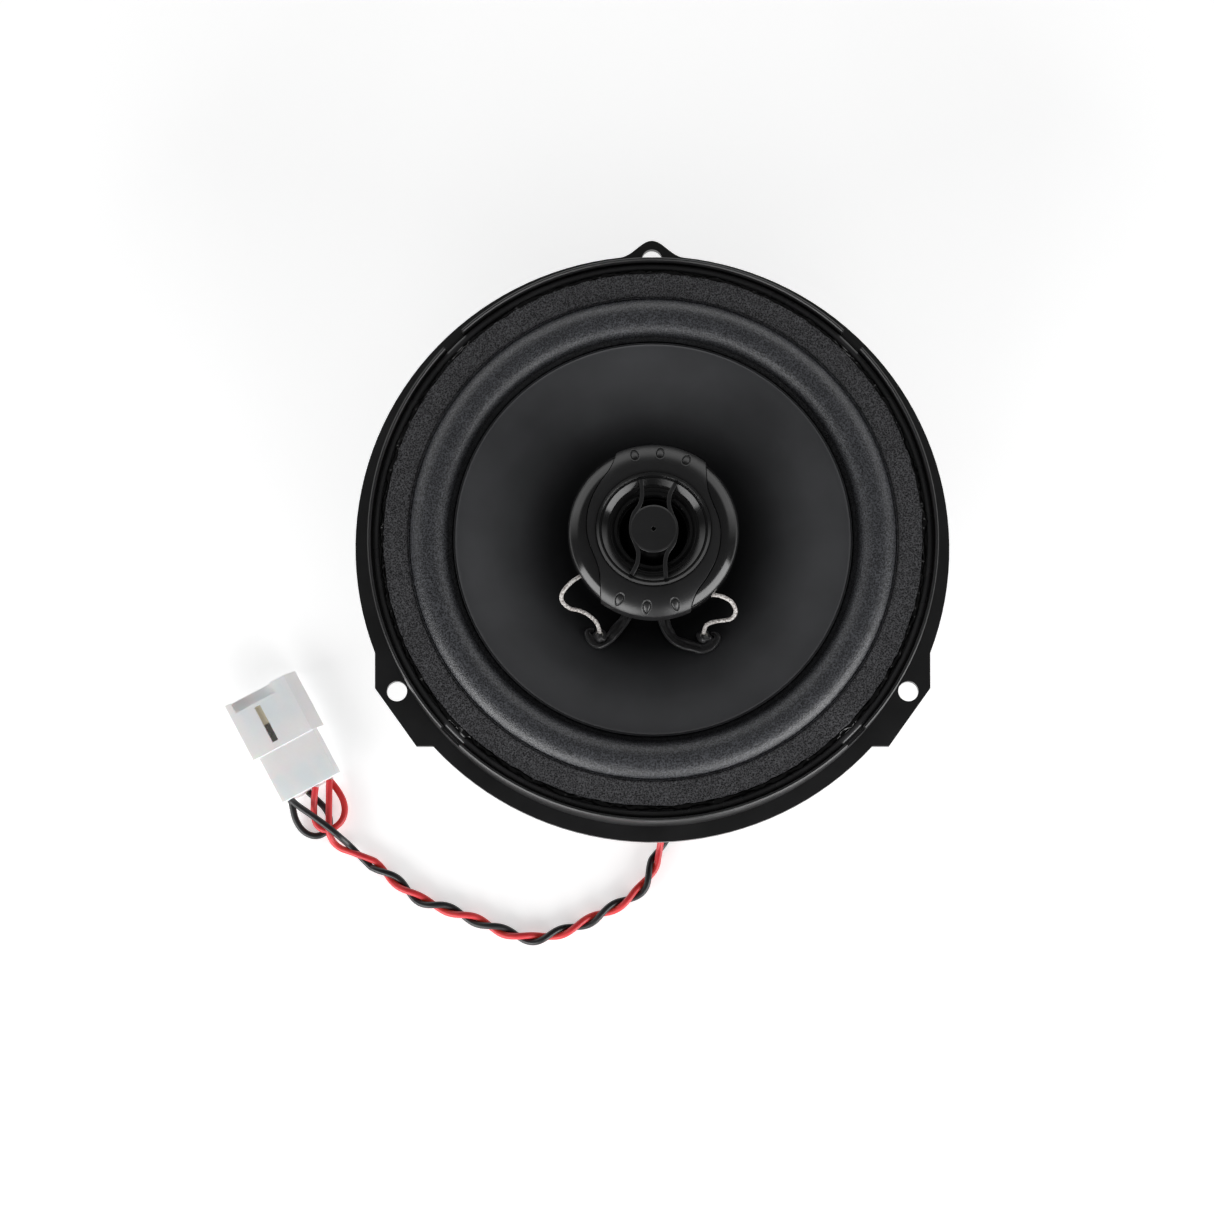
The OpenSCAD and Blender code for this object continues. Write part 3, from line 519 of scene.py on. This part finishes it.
def wobble(x, y, z, scale_mm, seed=0.0):
    """Smooth noise from -1 to 1 at a point."""
    return noise.noise(Vector((x / scale_mm + seed, y / scale_mm, z / scale_mm)))


# ------------------------------------------------------------------ rim: sealant and gasket

def add_sealant():
    """Black cement squeezed out beside the gasket: a wet, ragged bead, heaped up at one ear."""
    def move(x, y, z):
        a = math.atan2(y, x)
        r = math.hypot(x, y)
        up = (z - RIM_TOP) / 0.6
        out = smoothstep((r - 78.0) / 0.9)
        off = abs((math.degrees(a) - 226.5 + 180) % 360 - 180)
        heap = smoothstep(1.5 - off / 1.2)
        r += out * (0.9 * wobble(x, y, 0, 5.5, 4) + 0.4 * wobble(x, y, 0, 1.3, 9) + 1.0 * heap)
        z += up * (0.3 * wobble(x, y, 0, 2.6) + 0.32 * wobble(x, y, 0, 0.9, 6) + 0.7 * heap)
        return r * math.cos(a), r * math.sin(a), z

    top = [(77.76, 54.3), (77.95, 54.45), (78.2, 54.5), (78.5, 54.46), (78.75, 54.36), (79.0, 54.14),
           (79.15, 53.9), (79.2, 53.62)]
    bead = lathe("sealant", [(77.76, 53.62)] + top, SEALANT, 1400, move=move, smooth_deg=70)
    settle(bead, "frame", "sealant", "sealant_bead")


def add_rim_edge():
    """The rolled edge of the basket's rim, standing in a narrow gap inside the lip."""
    def move(x, y, z):
        return x, y, z + 0.05 * wobble(x, y, 0, 6, 3) * (z > RIM_TOP)

    outline = [(79.2, RIM_TOP + 0.02), (79.3, 53.95), (79.5, 54.22), (79.8, 54.4), (80.2, 54.44),
               (80.6, 54.34), (80.9, 54.1), (81.05, 53.8), (81.08, 53.0), (81.05, 52.5), (79.2, 52.5)]
    # Lighter than the basket's paint: a painted sheen.
    edge = lathe("rim_edge", outline, RIM_PAINT_AND_SHEEN, 360, move=move, smooth_deg=60)
    settle(edge, "frame", "basket_paint")


def add_gasket():
    """Die-cut foam, its grain standing out of its face, its outer edge ragged, its inner one cut clean."""
    def move(x, y, z):
        r = math.hypot(x, y)
        rough = 0.1 * wobble(x, y, z, 0.55) + 0.06 * wobble(x, y, z, 1.3, 5)
        ragged = 0.28 * wobble(x, y, 0, 2.2, 2) + 0.2 * wobble(x, y, 0, 5, 8)
        k = 1 + ragged * smoothstep((r - 76.8) / 0.8) / r
        grain = smoothstep((z - 55.2) / 0.5) * smoothstep((r - 70.9) / 0.4)
        return x * k, y * k, z + rough * grain

    top = [(71.2 + 6.25 * i / 22, GASKET_TOP) for i in range(23)]
    profile = ([(70.9, 54.2), (70.9, 55.3), (70.94, 55.48), (71.06, 55.7)] + top
               + [(GASKET_OUT - 0.1, 55.72), (GASKET_OUT, 55.4), (GASKET_OUT, 54.8), (77.88, 54.2)])
    ring = lathe("gasket", profile, GASKET, 1000, move=move, smooth_deg=50)
    settle(ring, "frame", "gasket_foam", "front_gasket")


# ------------------------------------------------------------------ surround, spider, cone


def add_surround():
    """Rubberised cloth pressed into one round roll, glued under the cone and under the gasket."""
    mid, bend_r, crest, t = 65.1, 6.3, 57.9, 0.6  # the roll's middle, bend, top and thickness
    outer_tilt, inner_tilt, steps = math.radians(56), math.radians(-68), 44

    def roll(lift):
        out = []
        for i in range(steps + 1):
            a = outer_tilt + (inner_tilt - outer_tilt) * i / steps
            out.append((mid + (bend_r + lift) * math.sin(a), crest - bend_r + (bend_r + lift) * math.cos(a)))
        return out

    outside = [(77.6, RIM_TOP), (77.6, RIM_TOP + t), (71.2, RIM_TOP + t), (70.86, RIM_TOP + t + 0.1)]
    edge = [(70.84, 55.25), (70.76, 55.46), (70.62, 55.52), (70.48, 55.44), (70.42, 55.26)]
    inside = [(58.85, 53.75), (58.6, 53.35), (58.2, 53.02), (57.6, 52.75), (55.6, 52.1), (55.6, 51.5),
              (57.8, 52.2), (58.7, 52.6)]
    profile = outside + edge + roll(0) + inside + list(reversed(roll(-t))) + [(70.3, RIM_TOP)]

    def move(x, y, z):
        r = math.hypot(x, y)
        grow = smoothstep((r - 58.6) / 0.8) * smoothstep((78 - r) / 2)
        rough = (0.025 * wobble(x, y, z, 0.5) + 0.03 * wobble(x, y, z, 1.3, 3)) * grow
        return x, y, z + rough

    piece = lathe("surround_roll", profile, SURROUND, 1100, move=move, smooth_deg=60)
    bend(piece, "surround")


def add_spider():
    """Corrugated cloth that centres the coil."""
    folds, first_fold, folded = 6, 14, 19
    flange_z, cloth_t, out = 29.6, 0.5, 39.8

    def height(r):
        return 30.5 + 0.9 * math.cos(TAU * folds * (r - first_fold) / folded)

    steps = 120
    rs = [13.0 + 21.0 * i / steps for i in range(steps + 1)]
    ease = [smoothstep((r - 32.5) / 1.5) for r in rs]
    low = [(r, height(max(r, first_fold)) * (1 - e) + flange_z * e) for r, e in zip(rs, ease)]
    profile = (low + [(out, flange_z), (out, flange_z + cloth_t)]
               + [(r, z + cloth_t) for r, z in reversed(low)])
    cloth = lathe("spider_weave", profile, SPIDER, 260, smooth_deg=60)
    bend(cloth, "spider")


def add_cone():
    """A thin pressed cone with a small bead round its edge."""
    steps = 90
    flat_r = CONE_R - 0.95
    rs = [CONE_NECK_R + (flat_r - CONE_NECK_R) * i / steps for i in range(steps + 1)]
    front = [(r, cone_z(r)) for r in rs]
    edge_z = cone_z(flat_r)
    bead = [(CONE_R + r, edge_z + z) for r, z in (
        (-0.82, 0.06), (-0.7, 0.17), (-0.6, 0.24), (-0.5, 0.22), (-0.42, 0.08), (-0.36, -0.06),
        (-0.3, 0.0), (-0.22, 0.1), (-0.12, 0.1), (-0.05, -0.05), (-0.05, -0.3), (-0.2, -0.5))]
    back = [(r, z - CONE_T) for r, z in reversed(front)]
    piece = lathe("cone_shell", front + bead + back, CONE, 360, smooth_deg=40)
    settle(piece, "cone", "cone_plastic", "cone")


# ------------------------------------------------------------------ glue strips, tinsel leads

# The strips' outer edges, from the cone's neck out to the hook round the tinsel's end
GLUE_LEFT = [(-3, -12.8), (-4.6, -17.5), (-6.1, -21.8), (-9.2, -26.5), (-11.9, -29.5), (-15.5, -31.5),
             (-18.6, -30.1), (-20, -27), (-19.1, -25.1), (-17.3, -24.9), (-16.4, -26)]
GLUE_RIGHT = [(0.1, -13.1), (0.7, -17.5), (1.4, -22.2), (2.9, -26.3), (5.2, -29.4), (8.3, -31.3),
              (11.3, -32.2), (14.2, -33), (17.8, -31.7), (19.8, -28.6), (19.1, -26.5), (17.2, -26), (16, -27)]
# How far in from the edge, and how high above the cone: an outer ridge, a valley, an inner ridge
RIBBON = [(0.0, -0.3), (0.12, 0.35), (0.4, 0.95), (0.8, 1.25), (1.2, 1.1), (1.6, 0.7), (2.0, 0.5),
          (2.4, 0.55), (2.8, 0.85), (3.15, 0.85), (3.4, 0.45), (3.5, -0.3)]


def add_glue(name, route, inner_side, replaced):
    """A hand-laid ribbon of glue over the coil's wire, ridged along both edges, hooked at its end."""
    step = 0.3
    line = resample(catmull([(x, y, 0) for x, y in route], 14), step)
    n = len(line)
    verts, faces = [], []
    m = len(RIBBON)
    for i, p in enumerate(line):
        t = (line[min(i + 2, n - 1)] - line[max(i - 2, 0)]).normalized()
        side = Vector((-t.y, t.x, 0)) * inner_side
        left = (n - 1 - i) * step
        narrow = 0.45 + 0.55 * smoothstep((left - 2) / 8)
        end = smoothstep(left / 1.2)
        for w, h in RIBBON:
            q = p + side * w * narrow * end * (1 + 0.14 * wobble(p.x, p.y, w, 3.5, 7))
            q += side * (1 - end) * 1.2
            lift = h * (0.2 + 0.8 * end) * (1 + 0.3 * wobble(p.x, p.y, w, 2.4, 3))
            verts.append((q.x, q.y, cone_z(math.hypot(q.x, q.y)) + lift))
    for i in range(n - 1):
        for k in range(m):
            j = (k + 1) % m
            faces.append((i * m + k, (i + 1) * m + k, (i + 1) * m + j, i * m + j))
    faces.append(tuple(range(m)))
    faces.append(tuple(reversed(range((n - 1) * m, n * m))))
    piece = new_mesh(name, verts, faces, GLUE, 80)
    sub = piece.modifiers.new("smooth", "SUBSURF")
    sub.levels = sub.render_levels = 1
    settle(piece, "cone", "glue", replaced)


def add_blob(name, x, y):
    """The glue heaped in lumps round the end of a tinsel lead."""
    verts, faces = [], []
    rings, sides = 14, 40
    for i in range(rings + 1):
        t = i / rings
        for k in range(sides):
            a = TAU * k / sides
            lump = wobble(math.cos(a) * t, math.sin(a) * t, 0, 0.55, x)
            uneven = 1 + 0.3 * wobble(math.cos(a), math.sin(a), 0, 0.8, x)
            r = 2.2 * math.sin(t * math.pi / 2) ** 0.8 * uneven
            px, py = x + r * math.cos(a), y + r * math.sin(a)
            h = (2.3 + 0.9 * lump) * math.cos(t * math.pi / 2) ** 0.8 - 0.3 * t
            verts.append((px, py, cone_z(math.hypot(px, py)) + h))
    for i in range(rings):
        for k in range(sides):
            m = (k + 1) % sides
            faces.append((i * sides + k, (i + 1) * sides + k, (i + 1) * sides + m, i * sides + m))
    faces.append(tuple(range(rings * sides, (rings + 1) * sides)))
    settle(new_mesh(name, verts, faces, GLUE, 80), "cone", "glue")


TWEETER_LEFT = [
    (-20.9, -11.6, 56.5), (-23.8, -13.6, 56.2), (-26.2, -16.4, 55), (-26.2, -18.6, 53.4),
    (-24, -20.4, 52), (-21.3, -20.9, 51.1), (-18.6, -22.1, 50), (-16.4, -24, 48.6),
    (-15.5, -26.2, 46.4)]
TWEETER_RIGHT = [
    (16.3, -17.1, 56.5), (19.4, -17.4, 56.2), (22.6, -19, 55), (23.8, -21.6, 53.4),
    (22.6, -23.4, 52.2), (20.4, -23.8, 51.2), (17.8, -24, 50), (15.6, -24.7, 48.4),
    (14.9, -26.2, 46.4)]
WOOFER_RIGHT = [
    (6, -42.5, 31.5), (6, -39, 34.5), (7, -35, 36.5), (8, -30, 37), (9, -25, 36.8), (9.5, -20.5, 36.2)]


def add_tinsel(name, route, extra, replaced):
    """Copper tinsel braided round a core: fine crossed strands, soft enough to follow the cone."""
    line = resample(catmull(list(route) + extra, 14), 0.16)
    sides = 24
    strands = 4
    verts, faces = [], []
    s = 0.0
    for i, (p, (u, v)) in enumerate(zip(line, frames(line))):
        if i:
            s += (p - line[i - 1]).length
        for k in range(sides):
            a = TAU * k / sides
            over = max(abs(math.sin(strands * a / 2 + s * 2.1)), abs(math.sin(strands * a / 2 - s * 2.1)))
            r = TINSEL_D / 2 * (0.58 + 0.26 * over)
            verts.append(tuple(p + (u * math.cos(a) + v * math.sin(a)) * r))
    n = len(line)
    for i in range(n - 1):
        for k in range(sides):
            m = (k + 1) % sides
            faces.append((i * sides + k, i * sides + m, (i + 1) * sides + m, (i + 1) * sides + k))
    faces.append(tuple(reversed(range(sides))))
    faces.append(tuple(range((n - 1) * sides, n * sides)))
    lead = new_mesh(name, verts, faces, BRAID, 80)
    bend(lead, replaced)


def add_leads():
    """The glue over the coil's wires, and the four braided leads."""
    add_glue("glue_strip_left", GLUE_LEFT, -1, "coil_lead_left")
    add_glue("glue_strip_right", GLUE_RIGHT, 1, "coil_lead_right")
    add_blob("glue_blob_left", -15.5, -27.3)
    add_blob("glue_blob_right", 14.9, -27.5)
    add_tinsel("tinsel_tweeter_left", TWEETER_LEFT, [(-15.5, -27, 44.4)], "tweeter_lead_left")
    add_tinsel("tinsel_tweeter_right", TWEETER_RIGHT, [(14.8, -27, 44.4)], "tweeter_lead_right")
    left = [(-x, y, z) for x, y, z in WOOFER_RIGHT]
    add_tinsel("tinsel_woofer_left", left, [], "woofer_lead_left")
    add_tinsel("tinsel_woofer_right", WOOFER_RIGHT, [], "woofer_lead_right")


# ------------------------------------------------------------------ tweeter pod

POD_FLAT = POD_R - 6.5
POD_TILT = 54.0
POD_ARC = (POD_R - POD_FLAT) / math.sin(math.radians(POD_TILT))
BAND_LIFT = 0.7    # the band's skin above the shell
BAND_PROUD = 0.55  # and past its side
BAND_OUT = POD_R + BAND_PROUD
BAND_LOW = 59.3
LEAST_SHOWN = 0.55  # of the shell's front, outside the band
FRONT_IN = 16.4
BAND_EDGE = [(-10.6, 23.6), (-11, 21), (-12.4, 17.6), (-15.2, 13.6), (-17.6, 9), (-18.8, 4.6),
             (-19, 0), (-18.2, -4), (-16.4, -8.6), (-15.4, -12), (-15.1, -16), (-15.1, -20.6)]
EDGE_LINE = [(p.x, p.y) for p in catmull([(-10.2, 26, 0)] + [(x, y, 0) for x, y in BAND_EDGE]
                                         + [(-15.1, -24, 0)], 8)]
DIMPLES = (104, 85, 65, 244, 265, 286)


def pod_z_at(r, lift=0.0):
    """Height of the pod's front at radius r: flat, then an arc that steepens to its edge."""
    if r <= POD_FLAT:
        return POD_FACE + lift
    arc = POD_ARC + lift
    x = min(r - POD_FLAT, arc * math.sin(math.radians(POD_TILT + 8)))
    return POD_FACE - POD_ARC + math.sqrt(arc * arc - x * x)


def edge_radius(angle):
    """Radius of the band's edge along a ray, which is past the pod where the band runs off it."""
    for turn in (0, 180):
        a = (angle - turn) % 360
        polar = [(math.degrees(math.atan2(y, x)) % 360, math.hypot(x, y)) for x, y in EDGE_LINE]
        for (a0, r0), (a1, r1) in zip(polar, polar[1:]):
            if a0 <= a <= a1:
                return r0 + (r1 - r0) * (a - a0) / (a1 - a0)
    return BAND_OUT + 1


def dimple_depth(x, y, r):
    """How far a dimple lowers the band's skin: a raised rim, a narrow moat and a bead."""
    a = math.degrees(math.atan2(y, x)) % 360
    for at in DIMPLES:
        off = (a - at + 180) % 360 - 180
        if abs(off) > 6:
            continue
        v = r - 22.4
        rho = math.hypot(math.radians(off) * r / (1.25 - 0.12 * v), v / 1.85)
        if rho < 0.78:
            return 0.4 - 0.36 * math.sqrt(1 - (rho / 0.78) ** 2)
        if rho < 1:
            return 0.4 * smoothstep((1 - rho) / 0.16)
        if rho < 1.25:
            return -0.04 * math.sin((1.25 - rho) / 0.25 * math.pi)
    return 0.0


def polar_shell(name, columns, material, smooth_deg=38):
    """A closed ring from one (angle, [(r, z), ...]) outline after another, all of one length."""
    verts = []
    m = len(columns[0][1])
    for a, column in columns:
        c, s = math.cos(math.radians(a)), math.sin(math.radians(a))
        verts += [(r * c, r * s, z) for r, z in column]
    n = len(columns)
    faces = [(i * m + k, ((i + 1) % n) * m + k, ((i + 1) % n) * m + (k + 1) % m, i * m + (k + 1) % m)
             for i in range(n) for k in range(m)]
    return new_mesh(name, verts, faces, material, smooth_deg)


def pod_angles():
    """Angles round the pod, closer together at the dimples and where the band meets the outline."""
    out = []
    a = 0.0
    while a < 360:
        out.append(a)
        close = min(abs((a - d + 180) % 360 - 180) for d in DIMPLES) < 5
        side = min(abs((a - c + 180) % 360 - 180) for c in (116, 296, 54, 234)) < 4
        a += (0.25 if close else 0.4 if side else 1.0) / DETAIL
    return out


def add_wings():
    """The pod's shell: its polished front shows at the two sides, behind a groove, as wings."""
    columns = []
    for a in pod_angles():
        e = min(edge_radius(a), POD_R - LEAST_SHOWN)
        column = [(FRONT_IN, POD_FACE - 0.1), (e - 0.6, pod_z_at(e - 0.6) - 0.75),
                  (e + 0.14, pod_z_at(e) - 0.75), (e + 0.2, pod_z_at(e + 0.2) - 0.2),
                  (e + 0.26, pod_z_at(e + 0.26) - 0.06), (e + 0.34, pod_z_at(e + 0.34))]
        first, last = e + 0.34, POD_R - 0.14
        for i in range(1, 25):
            r = first + (last - first) * i / 24
            column.append((r, pod_z_at(r)))
        edge = pod_z_at(POD_R)
        column += [(POD_R - 0.04, edge + 0.02), (POD_R, edge - 0.12), (POD_R, 61.5), (POD_R, 58.3),
                   (POD_R - 0.12, 58.06), (POD_R - 0.4, 58.0), (22.5, 58.0), (22.3, 62.5),
                   (17.6, 66.7), (FRONT_IN, 66.7)]
        columns.append((a, column))
    piece = polar_shell("pod_wings", columns, WING, 30)
    settle(piece, "frame", "pod_plastic", "pod_bezel")


def add_band():
    """The satin S-shaped plate over the shell, with six dimples in its two outer ends."""
    columns = []
    for a in pod_angles():
        edge = min(edge_radius(a), BAND_OUT)
        off_edge = edge < BAND_OUT - 1e-6
        c, s = math.cos(math.radians(a)), math.sin(math.radians(a))
        column = [(FRONT_IN + 0.02, POD_FACE + BAND_LIFT - 0.3),
                  (FRONT_IN + 0.1, POD_FACE + BAND_LIFT - 0.08)]
        start, knee, last = FRONT_IN + 0.3, min(POD_FLAT, edge - 0.6), edge - 0.2
        rs = [start + (knee - start) * i / 5 for i in range(6)]
        rs += [knee + (last - knee) * i / 48 for i in range(1, 49)]
        column += [(r, pod_z_at(r, BAND_LIFT) - dimple_depth(c, s, r)) for r in rs]
        top = pod_z_at(edge, BAND_LIFT)
        low = pod_z_at(edge) - 0.7 if off_edge else BAND_LOW
        column += [(edge - 0.06, top + 0.02), (edge, top - 0.16), (edge, (top + low) / 2), (edge, low),
                   (min(edge - 0.3, POD_R + 0.03), low), (FRONT_IN + 0.02, POD_FACE - 0.1)]
        columns.append((a, column))
    settle(polar_shell("pod_band", columns, POD), "frame", "pod_plastic", "face_plate")


def add_waveguide():
    """The glossy flared ring round the dome."""
    outline = fillet([
        (16.38, 65.5, 0), (16.38, 69.44, 0.05), (15.55, 68.9, 0.15), (15.35, 68.5, 0.1),
        (15.0, 68.45, 0.1), (14.85, 68.66, 0.08), (14.65, 68.5, 0.1), (13.1, 67.44, 0.1),
        (13.0, 66.95, 0.08), (12.5, 66.85, 0.08), (12.35, 66.98, 0.08), (12.2, 66.92, 0.08),
        (11.2, 66.23, 0.15), (10.9, 66.1, 0.2), (10.4, 66.0, 0.2), (10.0, 65.5, 0.15),
        (10.0, 64.12, 0), (14.8, 64.12, 0)], 5)
    settle(lathe("waveguide", outline, POLISHED, 360, smooth_deg=50), "frame", "pod_gloss",
           "waveguide_ring")


RIB = [(-3.55, 14.3), (-3.4, 12.6), (-3.3, 9.6), (-3.9, 7), (-5.6, 4.4), (-6.3, 2), (-6.45, 0),
       (-6.15, -2), (-5.1, -4.5), (-4.4, -7), (-4.6, -9.6), (-5.3, -11.4), (-6.3, -13.2)]


def add_guard():
    """The little disc before the dome, held by two bent ribs that sweep past its sides."""
    verts, faces = [], []
    segments = int(144 * DETAIL)
    outline = fillet([(0.65, 68.6, 0), (0.65, 69.48, 0.05), (0.8, 69.54, 0.05), (2.4, 69.62, 1.0),
                      (6.3, 69.7, 0.4), (6.9, 69.45, 0.25), (6.9, 68.75, 0.1), (6.6, 68.6, 0.1)], 5)
    m = len(outline)
    for i in range(segments):
        c, s = math.cos(TAU * i / segments), math.sin(TAU * i / segments)
        verts += [(r * c, r * s, z) for r, z in outline]
    for i in range(segments):
        j = (i + 1) % segments
        faces += [(i * m + k, j * m + k, j * m + (k + 1) % m, i * m + (k + 1) % m) for k in range(m)]
    section = fillet([(-0.6, 68.6, 0.1), (-0.6, 69.55, 0.25), (0.6, 69.55, 0.25), (0.6, 68.6, 0.1)], 4)
    w = len(section)
    for turn in (1, -1):
        line = resample(catmull([(x, y, 0) for x, y in RIB], 10), 0.35)
        base = len(verts)
        for i, p in enumerate(line):
            t = (line[min(i + 1, len(line) - 1)] - line[max(i - 1, 0)]).normalized()
            for off, z in section:
                drop = 0.25 * smoothstep((p.xy.length - 12.5) / 2)
                verts.append(((p.x - t.y * off) * turn, (p.y + t.x * off) * turn, z - drop))
        for i in range(len(line) - 1):
            for k in range(w):
                j = (k + 1) % w
                faces.append((base + i * w + k, base + (i + 1) * w + k, base + (i + 1) * w + j,
                              base + i * w + j))
        faces.append(tuple(base + k for k in range(w)))
        faces.append(tuple(base + (len(line) - 1) * w + k for k in reversed(range(w))))
    settle(new_mesh("guard", verts, faces, POD, 40), "frame", "pod_plastic", "tweeter_guard")


def add_dome():
    """The tweeter's thin dome, and the roll that it hangs in."""
    dome_r, rise, top, film_t = 9.9, 3.2, 63.2, 0.25
    bend_r = (dome_r ** 2 + rise ** 2) / (2 * rise)
    outer = []
    for i in range(25):
        r = max(9.85 * i / 24, 0.02)
        outer.append((r, top - bend_r + math.sqrt(bend_r ** 2 - r * r)))
    skirt = [(9.88, 60.3), (9.95, 60.75), (10.15, 60.85), (10.38, 60.75), (10.4, 60.2), (10.27, 60.2),
             (10.25, 60.65), (9.9, 60.62), (9.8, 60.2)]
    outline = outer + skirt + [(r, z - film_t) for r, z in reversed(outer[:-1])]
    settle(lathe("dome_skin", outline, FILM, 180), "tweeter", "dome_film", "tweeter_dome")
    arch = [(11.7 + 1.3 * math.cos(math.pi * i / 14), 59.5 + 0.9 * math.sin(math.pi * i / 14))
            for i in range(15)]
    outline = ([(13.0, 59.05)] + arch + [(10.4, 59.2)]
               + [(r, z - film_t) for r, z in reversed(arch[2:-2])])
    settle(lathe("dome_roll", outline, FILM, 180), "frame", "dome_film", "tweeter_suspension")


# ------------------------------------------------------------------ CAD nodes that stay

def finish_nodes():
    """Each CAD node that stays gets its material, and a small radius on its edges."""
    plan = {
        # node: (material, edge radius in mm)
        "adapter_ring": (ADAPTER, 0.25), "basket": (BASKET, 0.2), "basket_rivets": (STEEL, 0.3),
        "yoke": (STEEL, 0.3), "magnet": (FERRITE, 0.0), "top_plate": (STEEL, 0.25),
        "tweeter_post": (DARK_STEEL, 0.1), "coil_former": (ALUMINIUM, 0.0),
        "coil_winding": (COPPER, 0.1), "lead_eyelets": (TINNED, 0.1), "pod_base": (POD, 0.3),
        "tweeter_cup": (DARK_STEEL, 0.2), "tweeter_magnet": (NICKEL, 0.2),
        "tweeter_pole_plate": (STEEL, 0.2), "tweeter_coil": (COPPER, 0.0),
        "tweeter_capacitor": (CAPACITOR, 0.5), "terminal_board": (BOARD, 0.2),
        "terminal_rivets": (BRASS, 0.2), "terminal_tab_positive": (TINNED, 0.15),
        "terminal_tab_negative": (TINNED, 0.15), "push_on_positive": (BRASS, 0.3),
        "push_on_negative": (BRASS, 0.3), "sleeve_positive": (RED_PVC, 0.9),
        "sleeve_negative": (BLACK_PVC, 0.9), "connector_housing": (NYLON, 0.3),
        "connector_lock": (LOCK, 0.15), "connector_contacts": (TINNED, 0.1),
    }
    for name, (material, radius) in plan.items():
        node = nodes[name]
        for entry in node.material_slots:
            entry.material = material
        if radius:
            bevel = node.modifiers.new("edges", "BEVEL")
            bevel.width = radius * MM
            bevel.segments = 3
            bevel.limit_method = "ANGLE"
            bevel.angle_limit = math.radians(35)
            bevel.use_clamp_overlap = True


add_sealant()
add_rim_edge()
add_gasket()
add_surround()
add_spider()
add_cone()
add_leads()
add_wings()
add_band()
add_waveguide()
add_guard()
add_dome()
finish_nodes()


# ------------------------------------------------------------------ stage

# In metres, and watts a square metre a steradian
SOFTBOX_RADIANCE = 6.0
SOFTBOX_SIZE = (1.15, 0.55)
SOFTBOX_AWAY = 1.0
SOFTBOX_HEIGHT = 0.29
SOFTBOX_DROP = 0.2  # how far it tips down over that distance
SOFTBOX_AZIMUTHS = {"lower_left": 230, "lower_right": 316}
SKY_DIM = 0.11
WALL_GLOW = 1.5
FLOOR_HALF = 6.0


def add_sky():
    """A studio dim overhead, with a pale wall low on the object's upper side."""
    world = bpy.data.worlds.new("studio")
    bpy.context.scene.world = world
    world.use_nodes = True
    tree = world.node_tree
    split = tree.nodes.new("ShaderNodeSeparateXYZ")
    tree.links.new(tree.nodes.new("ShaderNodeTexCoord").outputs["Generated"], split.inputs["Vector"])
    low = ramp_node(tree, split.outputs["Z"], [(0.5, 1.0), (0.62, 0.0)])
    far = ramp_node(tree, split.outputs["Y"], [(0.05, 0.0), (0.4, 1.0)])
    wall = tree.nodes.new("ShaderNodeMath")
    wall.operation = "MULTIPLY"
    tree.links.new(low.outputs["Color"], wall.inputs[0])
    tree.links.new(far.outputs["Color"], wall.inputs[1])
    total = tree.nodes.new("ShaderNodeMath")
    total.operation = "MULTIPLY_ADD"
    tree.links.new(wall.outputs[0], total.inputs[0])
    total.inputs[1].default_value = WALL_GLOW
    total.inputs[2].default_value = SKY_DIM
    back = tree.nodes["Background"]
    back.inputs["Color"].default_value = (1, 1, 1, 1)
    tree.links.new(total.outputs[0], back.inputs["Strength"])


def add_stage():
    """A white paper floor and two long softboxes, low at the lower left and the lower right."""
    floor, _, _ = shader("floor_paper", (0.9, 0.9, 0.9), 0.9, Emission_Color=(1, 1, 1, 1),
                         Emission_Strength=0.45)
    mesh = bpy.data.meshes.new("floor")
    s = FLOOR_HALF
    mesh.from_pydata([(-s, -s, 0), (s, -s, 0), (s, s, 0), (-s, s, 0)], [], [(0, 1, 2, 3)])
    obj = bpy.data.objects.new("floor", mesh)
    bpy.context.scene.collection.objects.link(obj)
    mesh.materials.append(floor)
    for name, azimuth in SOFTBOX_AZIMUTHS.items():
        data = bpy.data.lights.new(name, "AREA")
        data.shape = "RECTANGLE"
        data.size, data.size_y = SOFTBOX_SIZE
        data.energy = SOFTBOX_RADIANCE * math.pi * data.size * data.size_y
        x, y = arc_xy(SOFTBOX_AWAY, azimuth)
        light = bpy.data.objects.new(name, data)
        light.location = (x, y, SOFTBOX_HEIGHT)
        light.rotation_euler = Vector((x, y, SOFTBOX_DROP)).to_track_quat("Z", "Y").to_euler()
        bpy.context.scene.collection.objects.link(light)


bpy.context.scene.view_settings.view_transform = "Standard"
add_sky()
add_stage()
